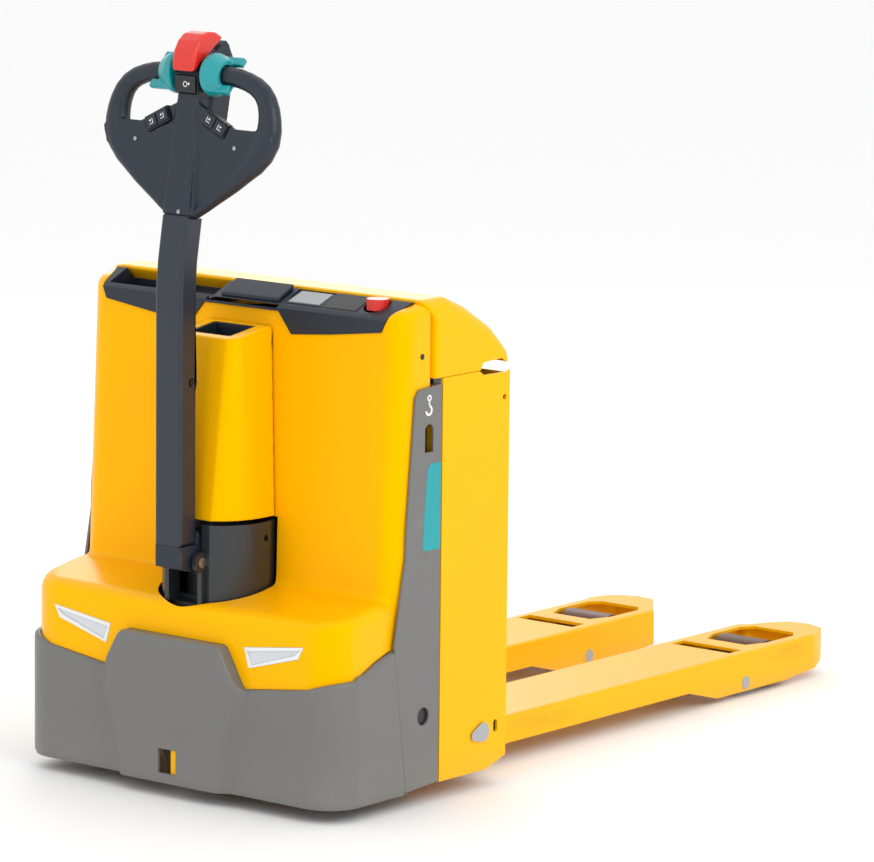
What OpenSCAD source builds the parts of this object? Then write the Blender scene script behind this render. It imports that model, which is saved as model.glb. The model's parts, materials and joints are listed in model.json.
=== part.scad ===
// Electric pedestrian pallet truck: drive unit with steered drive wheel and tiller,
// and a load section with battery and forks that lifts on the drive unit.
// +Z up, +Y towards the fork tips, +X to the right seen from the tiller.
// The origin is on the floor, at the middle of the truck's length and width.

/* [Overall] */
// Width over the side plates
overall_w = 720; // [640:5:800]
// Length from the bumper's front to the fork heel
front_len = 480; // [470:5:580]
// Length of the forks from heel to tip
fork_len = 1150; // [950:10:1600]
// Top of the side panels
panel_top = 733; // [700:1:860]
// Height of the forks' lift
lift = 122; // [100:1:130]

/* [Forks] */
// Width over both forks
forks_w = 540; // [520:5:680]
// Width of one fork
fork_w = 172; // [160:1:210]
// Height of the fork's top when lowered
fork_top = 85; // [85:1:95]
// Depth of the fork channel
fork_depth = 50; // [40:1:56]
// Plate thickness of the fork channel
fork_wall = 6; // [4:0.5:8]
// Length of the deeper fork tip
tip_len = 479; // [440:1:520]
// Width of the window over the load roller, at its middle
window_w = 124; // [90:1:134]
// Length of the window over the load roller
window_len = 157; // [120:1:200]

/* [Load wheels] */
// Diameter of the load roller
roller_d = 85; // [70:0.5:85]
// Width of the load roller
roller_w = 110; // [75:1:112]
// Distance from the fork tip to the roller's axle
roller_from_tip = 184; // [160:1:220]
// Distance from the roller's axle back to the lever's pivot
lever_reach = 116; // [90:1:140]
// Height of the lever's pivot when lowered
pivot_z = 27; // [24:1:34]
// Diameter of the lever's pivot pin
pivot_d = 25; // [16:1:26]

/* [Drive] */
// Distance from the bumper's front to the steering axis
steer_in = 135; // [130:1:150]
// Diameter of the drive wheel
wheel_d = 230; // [200:1:235]
// Width of the drive wheel
wheel_w = 70; // [55:1:75]
// Diameter of the castor wheels
castor_d = 100; // [80:1:110]
// Width of the castor wheels
castor_w = 40; // [30:1:44]
// Distance between the castors' swivel axes
castor_track = 536; // [480:1:548]
// Trail of the castors
castor_trail = 32; // [20:1:34]

/* [Body] */
// Thickness of the steel side plates
plate_t = 5; // [3:0.5:8]
// Thickness of the plastic covers
cover_t = 4; // [3:0.5:6]
// Depth of the load section, front to heel
load_depth = 184; // [170:1:220]
// Gap between the drive unit and the load section
section_gap = 3; // [2:0.5:5]
// Height of the bumper's lower edge
skirt_z = 25; // [18:1:40]
// Height of the shelf at the steering axis
shelf_z = 357; // [340:1:380]
// Radius of the opening in the shelf for the steering head
shelf_hole_r = 105; // [102:1:115]
// Height of the battery hood over the side panels
hood_rise = 136; // [120:1:150]

/* [Tiller] */
// Width of the tiller arm
arm_w = 59; // [50:1:64]
// Depth of the tiller arm
arm_d = 42; // [34:1:46]
// Height of the tiller's pivot
tilt_z = 410; // [400:1:420]
// Distance from the steering axis forward to the tiller's pivot
tilt_in = 92; // [88:1:96]
// Height of the seam between arm and tiller head
head_z = 1003; // [960:1:1060]
// Diameter of the hand grips
grip_d = 33; // [28:1:36]
// Width over the hand grips
grips_w = 384; // [340:2:420]

/* [Hidden] */
$fn = 48;

// Clearances
run = 0.05;    // radial, between a shaft and its bore
slack = 0.3;   // between faces of pieces that move on each other
joint = 0.5;   // between covers that meet

// Lengths along Y are counted from the fork heel
heel_y = (front_len - fork_len) / 2;
side_x = overall_w / 2;
front_y = -front_len;
load_y = -load_depth;
drive_y = load_y - section_gap;
steer_y = front_y + steer_in;
wall_y = drive_y - 103;          // front of the hood's upright wall, at its top
wall_lean = 21;                  // how far the wall's foot stands forward
hood_y = drive_y - 18;           // seam between front hood and battery hood
shelf_y = front_y + 25;          // front of the shelf
shelf_r = 62;                    // radius of the shelf's corners
shelf_x = side_x - 12;
wall_x = side_x - plate_t - 1;
wall_r = 34;
hood_z = panel_top + hood_rise;  // top of the battery hood
seam_z = [280, 210, 225, 240];   // bumper's top edge: middle, notch foot, front, corner

// Forks
fork_x = (forks_w - fork_w) / 2;
fork_end = fork_len;
tip_y = fork_len - tip_len;
axle_y = fork_len - roller_from_tip;
axle_z = roller_d / 2;
pivot_y = axle_y - lever_reach;
lever_l = norm([lever_reach, axle_z - pivot_z]);
lever_up = asin((axle_z - pivot_z) / lever_l);
lever_turn = lever_up + asin((lift - axle_z + pivot_z) / lever_l);
crank_r = 30;                    // lever's crank to its push-rod pin
crank_a = 90 + lever_turn / 2;   // its angle at rest
rod_pin_y = pivot_y + crank_r * cos(crank_a);
rod_pin_z = pivot_z + crank_r * sin(crank_a);
rocker_y = -68;
rocker_z = 101;
rocker_r = 50;                   // rocker shaft to its push-rod pin
rocker_a = -90 - asin(-crank_r * cos(crank_a) / rocker_r);
rocker_pin_y = rocker_y + rocker_r * cos(rocker_a);
rocker_pin_z = rocker_z + rocker_r * sin(rocker_a);
rod_hook = 17;                   // top of the push rod's hook over the lever's pin
floor_z = 120;                   // battery floor, underside
window_end = 89;                 // window's width at its ends
slot_y = [pivot_y - 29, pivot_y + 10];  // cross slot in the fork's top

// Drive
deck_z = 300;
ring_r = 80;                     // split between the slewing rings
castor_x = castor_track / 2;
castor_y = front_y + 169;        // swivel axis
castor_plate_z = castor_d + 12;  // top of the castor's fork
wheel_z = wheel_d / 2;
turret_r = 98;
column_r = 92.4;                 // inside the sweep of the upright tiller
motor_r = 56;
ram_r = 14;
ram_y = drive_y - 35;

// Tiller
tilt_y = steer_y - tilt_in;
arm_y = front_y;                 // front face of the arm, 1 mm behind the bumper's front
arm_foot = tilt_z + 31;          // seam between lower cover and arm
arm_bend = 880;                  // where the arm starts to lean
head_top = head_z + 237;         // height of the rocker's axis
head_y = arm_y + 17;             // front of the spine at its foot
rocker_axis = [arm_y + 75, head_top];
hub_r = 11;                      // fixed tube that the rocker turns on
yoke_r = [21, 25];               // bar that joins the rocker's two drums
estop_z = hood_z - 41;           // seat of the emergency stop
button_at = [head_y + 56, head_top + 31];
button_lean = 36.3;              // slope of the button's seam
button_push = 5;
grip_x = grips_w / 2 - grip_d / 2;

yellow = [1, 0.72, 0.03];
grey = [0.42, 0.43, 0.44];
slate = [0.17, 0.2, 0.25];
black = [0.06, 0.06, 0.07];
steel = [0.62, 0.64, 0.66];
teal = [0, 0.65, 0.65];
red = [0.88, 0.15, 0.12];

// Helpers
module at_heel() translate([0, heel_y, 0]) children();
module both() { children(); mirror([1, 0, 0]) children(); }
module block(x, y, z) translate([x[0], y[0], z[0]]) cube([x[1] - x[0], y[1] - y[0], z[1] - z[0]]);
module post(x, y, z, r) translate([x, y, z[0]]) cylinder(r = r, h = z[1] - z[0]);
module bar_x(x, y, z, r) translate([x[0], y, z]) rotate([0, 90, 0]) cylinder(r = r, h = x[1] - x[0]);
module bar_y(x, y, z, r) translate([x, y[0], z]) rotate([-90, 0, 0]) cylinder(r = r, h = y[1] - y[0]);
module tube_x(x, y, z, r, bore) difference() {
    bar_x(x, y, z, r);
    bar_x([x[0] - 1, x[1] + 1], y, z, bore);
}
// A side view [y, z] drawn out along X
module side_view(x, points) translate([x[0], 0, 0]) rotate([90, 0, 90])
    linear_extrude(height = x[1] - x[0]) polygon(points);
// A front view [x, z] drawn out along Y
module front_view(y, points) translate([0, y[1], 0]) rotate([90, 0, 0])
    linear_extrude(height = y[1] - y[0]) polygon(points);
// A block whose two front corners are rounded
module bow_block(x, y, z, r) {
    block([-x, x], [y[0] + r, y[1]], z);
    block([-x + r, x - r], y, z);
    both() post(x - r, y[0] + r, z, r);
}
// A link with round ends between two points in the side view
module link_x(x, a, b, ra, rb) {
    turn = atan2(b[1] - a[1], b[0] - a[0]);
    flank = acos((ra - rb) / norm(b - a));
    bar_x(x, a[0], a[1], ra);
    bar_x(x, b[0], b[1], rb);
    side_view(x, [for (i = [[a, ra, -1], [b, rb, -1], [b, rb, 1], [a, ra, 1]])
        i[0] + i[1] * [cos(turn + i[2] * flank), sin(turn + i[2] * flank)]]);
}

// Bumper's zone, grown by g: what lies under its top edge and in front of its rear edge
module bumper_zone(g) {
    m = seam_z[0] + g;
    n = seam_z[1] + g;
    front_view([front_y - 20, castor_y - 72], [[-side_x - 9, 0], [side_x + 9, 0], [side_x + 9, seam_z[3] + 8 + g],
        [272, seam_z[2] + g], [152 + g, n], [114 + g, m], [-114 - g, m], [-152 - g, n],
        [-272, seam_z[2] + g], [-side_x - 9, seam_z[3] + 8 + g]]);
    side_view([-side_x - 9, side_x + 9], [[castor_y - 73, 0], [castor_y + 36 + g, 0], [castor_y + 3 + g, 281 + g],
        [castor_y - 40, 266 + g], [castor_y - 73, 251 + g]]);
}

// Console's front outline in the front view, grown by g
function console_outline(g) = [[-wall_x, 880], [-338 - g, 872], [-322 - g, 843], [-310 - g, 817 - g],
    [-200, 803 - g], [-114 + g, 795 - g], [-84 + g, 832 - g], [84 - g, 832 - g], [114 - g, 795 - g],
    [200, 803 - g], [310 + g, 817 - g], [322 + g, 843], [338 + g, 872], [wall_x, 880]];

// Hood's side view, inset by t
function hood_profile(t) = [[hood_y + 6, 180 - t], [front_y, 180 - t], [shelf_y + t, 315], [shelf_y + 8 + t, 329],
    [shelf_y + 22, shelf_z - 19 - t], [steer_y, shelf_z - t], [wall_y - wall_lean - 7 + t, shelf_z + 3 - t],
    [wall_y - wall_lean + t, shelf_z + 16 - t], [wall_y + t, hood_z - 34 - t], [wall_y + 14 + t, hood_z - 20 - t],
    [hood_y - 32, hood_z - 3.5 - t], [hood_y - joint - t - 2, hood_z - 37], [hood_y - joint - t, panel_top - 9],
    [hood_y + 6, panel_top - 9]];

module hood_form(t) {
    intersection() {
        bow_block(shelf_x - t, [shelf_y + t, hood_y + 6], [150, shelf_z + 10], shelf_r - t);
        side_view([-side_x, side_x], hood_profile(t));
    }
    intersection() {
        bow_block(wall_x - t, [wall_y - wall_lean + t, hood_y + 6], [shelf_z - 60, hood_z], wall_r - t);
        side_view([-side_x, side_x], hood_profile(t));
    }
}

// --- Drive unit ---

module chassis() color(yellow) at_heel() {
    difference() {
        union() {
            block([-wall_x + 1, wall_x - 1], [drive_y - 12, drive_y - 4], [40, 700]);
            bow_block(side_x - 28, [steer_y - 98, drive_y - 4], [deck_z, deck_z + 12], 60);
            post(0, steer_y, [deck_z - 6, deck_z + 12], 105);
        }
        post(0, steer_y, [deck_z - 7, deck_z + 20], ring_r + 15 + run);
        block([-40, 40], [drive_y - 20, drive_y + 5], [540, 705]);
        both() post(castor_x, steer_y - 110, [deck_z - 7, deck_z + 20], 70);
    }
    both() {
        difference() {
            union() {
                block([castor_x - 40, castor_x + 40], [castor_y - 40, castor_y + 40],
                    [castor_plate_z + 1, castor_plate_z + 13]);
                block([castor_x - 30, castor_x + 30], [castor_y - 30, castor_y + 30],
                    [castor_plate_z + 13, deck_z]);
            }
            post(castor_x, castor_y, [castor_plate_z, castor_plate_z + 14], 12 + run);
            block([castor_x - 25, castor_x + 25], [castor_y - 25, castor_y + 25],
                [castor_plate_z + 13, deck_z + 1]);
        }
        // Rib from the castor's post to the rear bulkhead
        block([castor_x - 5, castor_x + 5], [castor_y + 30, drive_y - 12], [castor_plate_z + 40, deck_z]);
    }
    // Brackets that hold the bumper
    both() {
        block([130, 138], [front_y + 21, steer_y - 90], [150, 205]);
        block([130, 138], [steer_y - 104, steer_y - 90], [150, deck_z]);
    }
    // Towing strip behind the bumper's opening
    block([4, 60], [front_y + 6, front_y + 11], [32, 270]);
    block([4, 60], [front_y + 6, steer_y - 97], [262, 270]);
    block([4, 60], [steer_y - 104, steer_y - 97], [262, deck_z + 1]);
}

module bumper() color(grey) at_heel() difference() {
    union() {
        intersection() {
            bow_block(side_x, [front_y + 16, drive_y - 50], [skirt_z, 300], 66);
            bumper_zone(0);
        }
        // Raised middle panel
        intersection() {
            front_view([front_y, front_y + 40], [[-125, skirt_z - 6], [125, skirt_z - 6], [152, 130], [152, 300],
                [-152, 300], [-152, 130]]);
            bumper_zone(0);
        }
    }
    bow_block(side_x - plate_t, [front_y + 16 + plate_t, drive_y], [0, 400], 66 - plate_t);
    block([-120, 120], [front_y + 6, front_y + 60], [0, 272]);
    block([-20, 20], [front_y - 5, front_y + 30], [43, 86]);
}

module side_plate() color(grey) at_heel() difference() {
    union() {
        side_view([side_x - plate_t, side_x], [[castor_y + 36 + joint, skirt_z + 4], [drive_y, skirt_z + 10],
            [drive_y, panel_top - 9], [drive_y - 60, panel_top - 14], [drive_y - 70, panel_top - 26],
            [drive_y - 90, 485], [drive_y - 92, 434], [castor_y + 3 + joint, 290], [castor_y + 3 + joint, 281]]);
        // Flange that bolts to the rear bulkhead
        block([side_x - 30, side_x - plate_t + 1], [drive_y - 4, drive_y], [60, panel_top - 60]);
    }
    bar_x([side_x - 40, side_x + 1], drive_y - 42, 155, 15.5);
    // Lifting slot, round at the top
    block([side_x - 40, side_x + 1], [drive_y - 44, drive_y - 22], [610, 647]);
    bar_x([side_x - 40, side_x + 1], drive_y - 33, 647, 11);
}
module side_plate_left() mirror([1, 0, 0]) side_plate();
module side_plate_right() side_plate();

module front_hood() color(yellow) at_heel() difference() {
    union() {
        difference() {
            hood_form(0);
            hood_form(cover_t);
        }
        // Pockets beside the turret, where the tiller's ears swing past
        both() block([95, 123], [wall_at(410) + 1, steer_y + 49], [tilt_z - 29, tilt_z + 31]);
    }
    intersection() {
        post(0, steer_y, [tilt_z - 25, tilt_z + 27], 119);
        block([-120, 120], [steer_y, steer_y + 45], [tilt_z - 25, tilt_z + 27]);
    }
    block([-wall_x + cover_t, wall_x - cover_t], [steer_y + 55, drive_y], [150, hood_z - 36]);
    bow_block(shelf_x - cover_t, [shelf_y + cover_t, drive_y], [100, 260], shelf_r - cover_t);
    bumper_zone(joint);
    post(0, steer_y, [300, 479], shelf_hole_r);
    block([-72, 72], [wall_y - 40, wall_y + 10], [478, 790]);
    front_view([wall_y - 40, drive_y], console_outline(joint));
    both() {
        headlight_cut(joint);
        bar_x([wall_x - 10, wall_x + 10], hood_y - 29, 774, 4.5);
        block([wall_x - 10, wall_x + 10], [drive_y - 50, drive_y - 16], [600, 668]);
    }
}

// Headlight outline in the front view, shrunk by t
module headlight_cut(t) front_view([front_y, shelf_y + 14], [[152 - t, 282 + t], [162 - t, 247 - t],
    [271 + t, 277 - t], [283 + t, 299 + t]]);

module console() color(slate) at_heel() difference() {
    intersection() {
        front_view([wall_y - 6, hood_y - 8], console_outline(0));
        side_view([-side_x, side_x], [[wall_y - 4, 780], [wall_y - 2, hood_z - 32], [wall_y + 6, hood_z - 26],
            [hood_y - 31, hood_z - 4], [hood_y - joint - 4, hood_z - 34], [hood_y - joint - 4, 780]]);
    }
    // Hollow under the tray floor
    block([-300, 300], [wall_y + 4, hood_y - 10], [700, 812]);
    block([-80, 80], [wall_y - 2, hood_y - 10], [700, 842]);
    // Storage trays
    block([-312, -200], [wall_y + 8, hood_y - 14], [822, 900]);
    block([-190, -70], [wall_y + 8, hood_y - 14], [838, 900]);
    // Seat of the emergency stop
    post(272, wall_y + 37, [estop_z, 900], 24);
    post(272, wall_y + 37, [estop_z - 6, 900], 9 + run);
    // Seat of the display, and the box under the storage lid
    block([86, 170], [wall_y + 10, hood_y - 30], [838, 900]);
    block([-48, 68], [wall_y + 16, hood_y - 40], [846, 900]);
}

module column_form(t, z0, z1) hull() {
    intersection() {
        post(0, steer_y, [z0, z0 + 2], column_r - t, $fn = 48);
        block([-110, 110], [steer_y - 78 + t, steer_y + 110], [z0, z0 + 2]);
    }
    block([-column_r - 0.3 + t, column_r + 0.3 - t], [steer_y + 31, steer_y + 60], [z0, z0 + 2]);
    both() for (y = [steer_y - 28, steer_y + 48]) post(52, y, [z1 - 2, z1], 20 - t, $fn = 24);
}

// Slope of the column's top, lowered by t
module column_top(t) side_view([-110, 110], [[steer_y - 110, 782 - t], [steer_y - 110, 840], [wall_y + 40, 840],
    [wall_y + 40, 814 - t]]);
function wall_at(z) = wall_y - wall_lean * (hood_z - 34 - z) / (hood_z - 50 - shelf_z);

module column_cover() color(yellow) at_heel() difference() {
    column_form(0, 480, 805);
    difference() {
        column_form(cover_t, 478, 805);
        column_top(cover_t);
    }
    column_top(0);
    side_view([-120, 120], [[wall_at(470) - joint, 470], [drive_y, 470], [drive_y, 810], [wall_at(810) - joint, 810]]);
    block([-47, 47], [steer_y - 30, wall_y - 14], [780, 810]);
}

module pocket_liner() color(slate) at_heel() difference() {
    side_view([-46.6, 46.6], [[steer_y - 29.6, 715], [wall_y - 14.4, 715], [wall_y - 14.4, 803],
        [steer_y - 29.6, 793]]);
    block([-43, 43], [steer_y - 26, wall_y - 18], [718, 820]);
}

module headlight_bezels() color([0.93, 0.93, 0.93]) at_heel() both() difference() {
    intersection() {
        headlight_cut(0);
        translate([0, -0.6, 0]) hood_form(0);
    }
    intersection() {
        headlight_cut(-6);
        translate([0, -20, 0]) hood_form(0);
    }
    translate([0, 4, 0]) hood_form(0);
}

module headlight_lenses() color([0.85, 0.87, 0.9]) at_heel() both() difference() {
    intersection() {
        headlight_cut(-6 - slack);
        translate([0, 2, 0]) hood_form(0);
    }
    translate([0, 5, 0]) hood_form(0);
}

module display() color(black) at_heel() side_view([87, 169], [[wall_y + 11, 838], [hood_y - 31, 838],
    [hood_y - 31, hood_z - 7], [wall_y + 11, hood_z - 23]]);

module storage_lid() color(slate) at_heel() side_view([-55, 75], [[wall_y + 9, hood_z - 24.3],
    [hood_y - 34, hood_z - 4.8], [hood_y - 34, hood_z + 3], [wall_y + 13, hood_z - 16], [wall_y + 9, hood_z - 19]]);

module estop_collar() color(yellow) at_heel() translate([272, wall_y + 37, estop_z]) difference() {
    union() {
        cylinder(r = 23.5, h = 6);
        cylinder(r = 16, h = 14);
    }
    translate([0, 0, -1]) cylinder(r = 9 + run, h = 20);
}

module slewing_ring_outer() color(steel) at_heel() difference() {
    post(0, steer_y, [deck_z - 4, deck_z + 16], ring_r + 15);
    post(0, steer_y, [deck_z - 5, deck_z + 17], ring_r + run);
}

module hydraulic_pump() color(black) at_heel() {
    // Tank
    block([-325, -235], [wall_y + 6, drive_y - 16], [deck_z + 12, 540]);
    // Pump block and motor
    block([-235, -150], [wall_y + 4, drive_y - 20], [deck_z + 12, 350]);
    post(-190, wall_y + 45, [350, 500], 38);
}

module lift_cylinder() color(black) at_heel() difference() {
    union() {
        post(0, ram_y, [deck_z + 12, 520], ram_r + 6);
        block([-34, 34], [drive_y - 58, drive_y - 12], [deck_z + 12, deck_z + 22]);
    }
    post(0, ram_y, [deck_z + 30, 521], ram_r + run);
}

module controller() color(steel) at_heel() {
    block([120, 310], [drive_y - 66, drive_y - 12], [400, 620]);
    for (x = [130:18:300]) block([x, x + 6], [drive_y - 84, drive_y - 66], [405, 615]);
}

module hood_screws() color(black) at_heel() both() difference() {
    bar_x([wall_x - 9, wall_x + 0.5], hood_y - 29, 774, 4);
    bar_x([wall_x - 3, wall_x + 1], hood_y - 29, 774, 2.2, $fn = 6);
}

module estop_knob() color(red) at_heel() translate([272, wall_y + 37, estop_z]) {
    cylinder(r = 9, h = 22);
    translate([0, 0, 20]) cylinder(r = 12, h = 6);
    translate([0, 0, 26]) rotate_extrude() polygon([[0, 0], [15, 0], [19.5, 3], [19.5, 9], [17, 12], [6, 13.5],
        [0, 13.5]]);
}

// --- Steering head ---

module turret() color(slate) at_heel() {
    difference() {
        intersection() {
            post(0, steer_y, [deck_z + 36, 474], turret_r);
            block([-100, 100], [steer_y - 84, steer_y + 100], [deck_z + 36, 474]);
        }
        intersection() {
            post(0, steer_y, [deck_z + 44, 475], turret_r - 6);
            block([-100, 100], [steer_y - 79, steer_y + 100], [deck_z + 44, 475]);
        }
        block([-arm_w / 2 - 3, arm_w / 2 + 3], [steer_y - 120, steer_y - 60], [deck_z + 30, 480]);
        bar_x([60, 110], steer_y + 10, 446, 6);
        bar_x([-50, 50], tilt_y, tilt_z, 9 + run);
        post(0, steer_y, [deck_z + 17, deck_z + 50], 14);
    }
    difference() {
        post(0, steer_y, [deck_z + 18, deck_z + 36], 90);
        post(0, steer_y, [deck_z + 17, deck_z + 50], 14);
    }
    // Ears that carry the tiller's pin
    both() difference() {
        union() {
            bar_x([arm_w / 2 + 3, arm_w / 2 + 12], tilt_y, tilt_z, 18);
            block([arm_w / 2 + 3, arm_w / 2 + 12], [tilt_y - 2, steer_y - 66], [deck_z + 36, tilt_z]);
            block([arm_w / 2 + 3, arm_w / 2 + 12], [tilt_y, steer_y - 66], [tilt_z - 4, tilt_z + 18]);
        }
        bar_x([0, arm_w], tilt_y, tilt_z, 9 + run);
    }
}

module slewing_ring_inner() color(steel) at_heel() difference() {
    post(0, steer_y, [deck_z - 6, deck_z + 18], ring_r);
    post(0, steer_y, [deck_z - 7, deck_z + 19], motor_r + 6);
}

module gearbox() color(grey) at_heel() difference() {
    union() {
        post(0, steer_y, [deck_z - 42, deck_z - 6], 84);
        post(0, steer_y, [deck_z - 6, deck_z + 18], motor_r + 5.7);
        block([wheel_w / 2 + 5, wheel_w / 2 + 46], [steer_y - 48, steer_y + 48], [wheel_z, deck_z - 40]);
        bar_x([wheel_w / 2 + 5, wheel_w / 2 + 46], steer_y, wheel_z, 48);
        bar_x([-wheel_w / 2 + 20, wheel_w / 2 + 6], steer_y, wheel_z, 22);
    }
    post(0, steer_y, [deck_z - 12, deck_z + 19], 30);
}

module drive_motor() color(black) at_heel() {
    post(0, steer_y, [deck_z + 44, 560], motor_r);
    // Shaft and pinion, down through the turret's floor
    post(0, steer_y, [deck_z - 2, deck_z + 45], 10);
    post(0, steer_y, [deck_z - 8, deck_z + 6], 18);
    for (z = [380:14:520]) post(0, steer_y, [z, z + 6], motor_r + 3);
    // Parking brake on the motor's rear end
    post(0, steer_y, [560, 612], 46);
    post(0, steer_y, [612, 620], 20);
}

module tiller_pin() color(steel) at_heel() bar_x([-arm_w / 2 - 13, arm_w / 2 + 13], tilt_y, tilt_z, 9);

module tiller_spring() color(black) at_heel() both() for (i = [0:4])
    translate([11 + 2.8 * i, tilt_y, tilt_z]) rotate([0, 90, 0]) rotate_extrude() translate([11.5, 0]) circle(r = 1.5);

module wheel_hub() color(steel) at_heel() translate([0, steer_y, wheel_z]) rotate([0, 90, 0]) difference() {
    union() {
        translate([0, 0, -wheel_w / 2 + 6]) cylinder(r = wheel_d / 2 - 25, h = wheel_w - 12);
        translate([0, 0, -wheel_w / 2]) cylinder(r = 46, h = 20);
    }
    translate([0, 0, -wheel_w / 2 + 12]) cylinder(r = 22 + run, h = wheel_w);
    translate([0, 0, wheel_w / 2 - 16]) cylinder(r = wheel_d / 2 - 35, h = 30);
    for (a = [0:72:359]) rotate(a) translate([34, 0, -wheel_w]) cylinder(r = 5, h = 2 * wheel_w);
}

module wheel_tyre() color([0.12, 0.12, 0.12]) at_heel() translate([0, steer_y, wheel_z]) rotate([0, 90, 0])
    difference() {
        union() {
            translate([0, 0, -wheel_w / 2 + 3]) cylinder(r = wheel_d / 2, h = wheel_w - 6);
            translate([0, 0, -wheel_w / 2]) cylinder(r = wheel_d / 2 - 4, h = wheel_w);
        }
        translate([0, 0, -wheel_w]) cylinder(r = wheel_d / 2 - 25, h = 2 * wheel_w);
    }

// --- Tiller ---

module tiller_arm() color(slate) at_heel() difference() {
    union() {
        side_view([-arm_w / 2, arm_w / 2], [[arm_y, arm_foot], [arm_y + arm_d, arm_foot], [arm_y + arm_d, arm_bend],
            [arm_y + arm_d + 3, arm_bend + 45], [arm_y + arm_d + 15, head_z - 5], [head_y, head_z + 1],
            [arm_y + 4, arm_bend + 45], [arm_y, arm_bend]]);
    }
    // Hollow that takes the wiring
    block([-arm_w / 2 + 5, arm_w / 2 - 5], [arm_y + 5, arm_y + arm_d - 5], [arm_foot + 6, arm_bend]);
    bar_x([arm_w / 2 - 3, arm_w / 2 + 1], arm_y + arm_d - 12, 720, 5);
}

module tiller_cover() color(slate) at_heel() difference() {
    union() {
        side_view([-arm_w / 2, arm_w / 2], [[arm_y, tilt_z - 7], [tilt_y - 14, tilt_z - 16], [tilt_y + 12, tilt_z - 16],
            [tilt_y + 20, tilt_z + 6], [tilt_y + 20, tilt_z + 34], [arm_y + arm_d, arm_foot + 24],
            [arm_y + arm_d, arm_foot - joint], [arm_y, arm_foot - joint]]);
    }
    bar_x([-arm_w, arm_w], tilt_y, tilt_z, 9 + run);
    bar_x([-26, 26], tilt_y, tilt_z, 13.5);
    block([-arm_w, arm_w], [arm_y + arm_d - joint, arm_y + arm_d + joint], [arm_foot - joint, 500]);
}

// Spine of the head: narrower towards the top
module spine(x0, x1, y, z0, z1, lean, depth) hull() {
    block([-x0, x0], [y, y + depth], [z0, z0 + 1]);
    block([-x1, x1], [y + lean, y + lean + depth], [z1 - 1, z1]);
}

// Shield in the front view
shield = [[arm_w / 2, head_z + 8], [56, head_z + 25], [96, head_z + 45], [148, head_z + 84], [178, head_z + 112],
    [188, head_z + 140], [150, head_z + 152], [104, head_z + 152], [22, head_z + 190]];
module on_shield() translate([0, head_y + 23, head_z]) rotate([-7, 0, 0]) translate([0, -head_y - 23, -head_z])
    children();
module head_front() color(slate) at_heel() difference() {
    union() {
        spine(arm_w / 2, 22, head_y, head_z + 1 + joint, head_z + 205, 32, 34);
        on_shield() both() front_view([head_y + 10, head_y + 23], concat([[0, head_z + 8]], shield,
            [[0, head_z + 190]]));
    }
    both() key_place(0) block([-28.3, 28.3], [-10, 8.5], [-13.5, 13.5]);
}

module head_back() color(slate) at_heel() {
    difference() {
        union() {
            side_view([-26, 26], [[head_y + 36, head_z + 12], [head_y + 72, head_z + 60], [head_y + 106, head_z + 160],
                [head_y + 124, head_top + 16], [head_y + 110, head_top + 46], [head_y + 101, head_top + 55],
                [head_y + 91, head_top + 49], [head_y + 28, head_top + 2], [head_y + 28, head_top - 30],
                [head_y + 68, head_z + 206], [head_y + 66, head_z + 200]]);
            on_shield() both() front_view([head_y + 23.5, head_y + 33], [[0, head_z + 20], [50, head_z + 34],
                [90, head_z + 54], [136, head_z + 86], [146, head_z + 112], [100, head_z + 146], [0, head_z + 184]]);
            on_button() block([-20, 20], [-22, 22], [-8, 8]);
        }
        spine(arm_w / 2 + slack, 22 + slack, head_y - 5, head_z, head_z + 206, 32, 39 + slack);
        bar_x([-30, 30], rocker_axis[0], rocker_axis[1], yoke_r[1] + 1.5);
        block([-22.5, 22.5], [head_y + 20, head_y + 35.5], [head_top - 30.5, head_top - 1.5]);
    }
    // Hub inside the head, its web, and the fixed tube the rocker turns on
    bar_x([-30, 30], rocker_axis[0], rocker_axis[1], yoke_r[0] - 1);
    block([-25, 25], [rocker_axis[0] - 5, rocker_axis[0] + 9], [head_top - 32, head_top - 15]);
    bar_x([-74, 74], rocker_axis[0], rocker_axis[1], hub_r);
}

// Centre line of a hand grip in the front view: a half loop from the head's top to the shield
grip_line = [[72, head_top], [112, head_top - 1], [146, head_top - 14], [grip_x - 8, head_top - 40],
    [grip_x, head_top - 74], [grip_x - 4, head_top - 106], [grip_x - 24, head_top - 134]];
module grip() color(slate) at_heel() difference() {
    for (i = [0:5]) hull() for (p = [grip_line[i], grip_line[i + 1]])
        translate([p[0], rocker_axis[0] - (head_top - p[1]) * 0.1, p[1]]) sphere(r = grip_d / 2, $fn = 20);
    bar_x([50, 74.2], rocker_axis[0], rocker_axis[1], hub_r + run);
    on_shield() front_view([head_y + 9.7, head_y + 33.3], concat([[0, head_z]], shield, [[0, head_z + 190]]));
}
module grip_left() mirror([1, 0, 0]) grip();
module grip_right() grip();

// Places of the keys on the head: 0 and 1 on the shield, 2 on the spine
module key_place(x) translate([64.5, head_y + 29.5, head_z + 158]) rotate([-7, 26, 0]) translate([x, 0, 0])
    children();
// Frame on the belly button's seam
module on_button() translate([0, button_at[0], button_at[1]]) rotate([button_lean, 0, 0]) children();

module key_panels() color(black) at_heel() both() difference() {
    key_place(0) block([-27.8, 27.8], [-1.5, 8.2], [-13, 13]);
    for (x = [-13.5, 13.5]) key_place(x) block([-12.3, 12.3], [-10, 6.6], [-10.3, 10.3]);
}

module key(x) color(slate) at_heel() key_place(x) block([-12, 12], [-4, 4], [-10, 10]);
module key_lift_right() key(-13.5);
module key_lower_right() key(13.5);
module key_lift_left() mirror([1, 0, 0]) key(-13.5);
module key_lower_left() mirror([1, 0, 0]) key(13.5);

module crawl_button() color(black) at_heel() block([-22, 22], [head_y + 26, head_y + 33], [head_top - 30, head_top - 2]);

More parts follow.
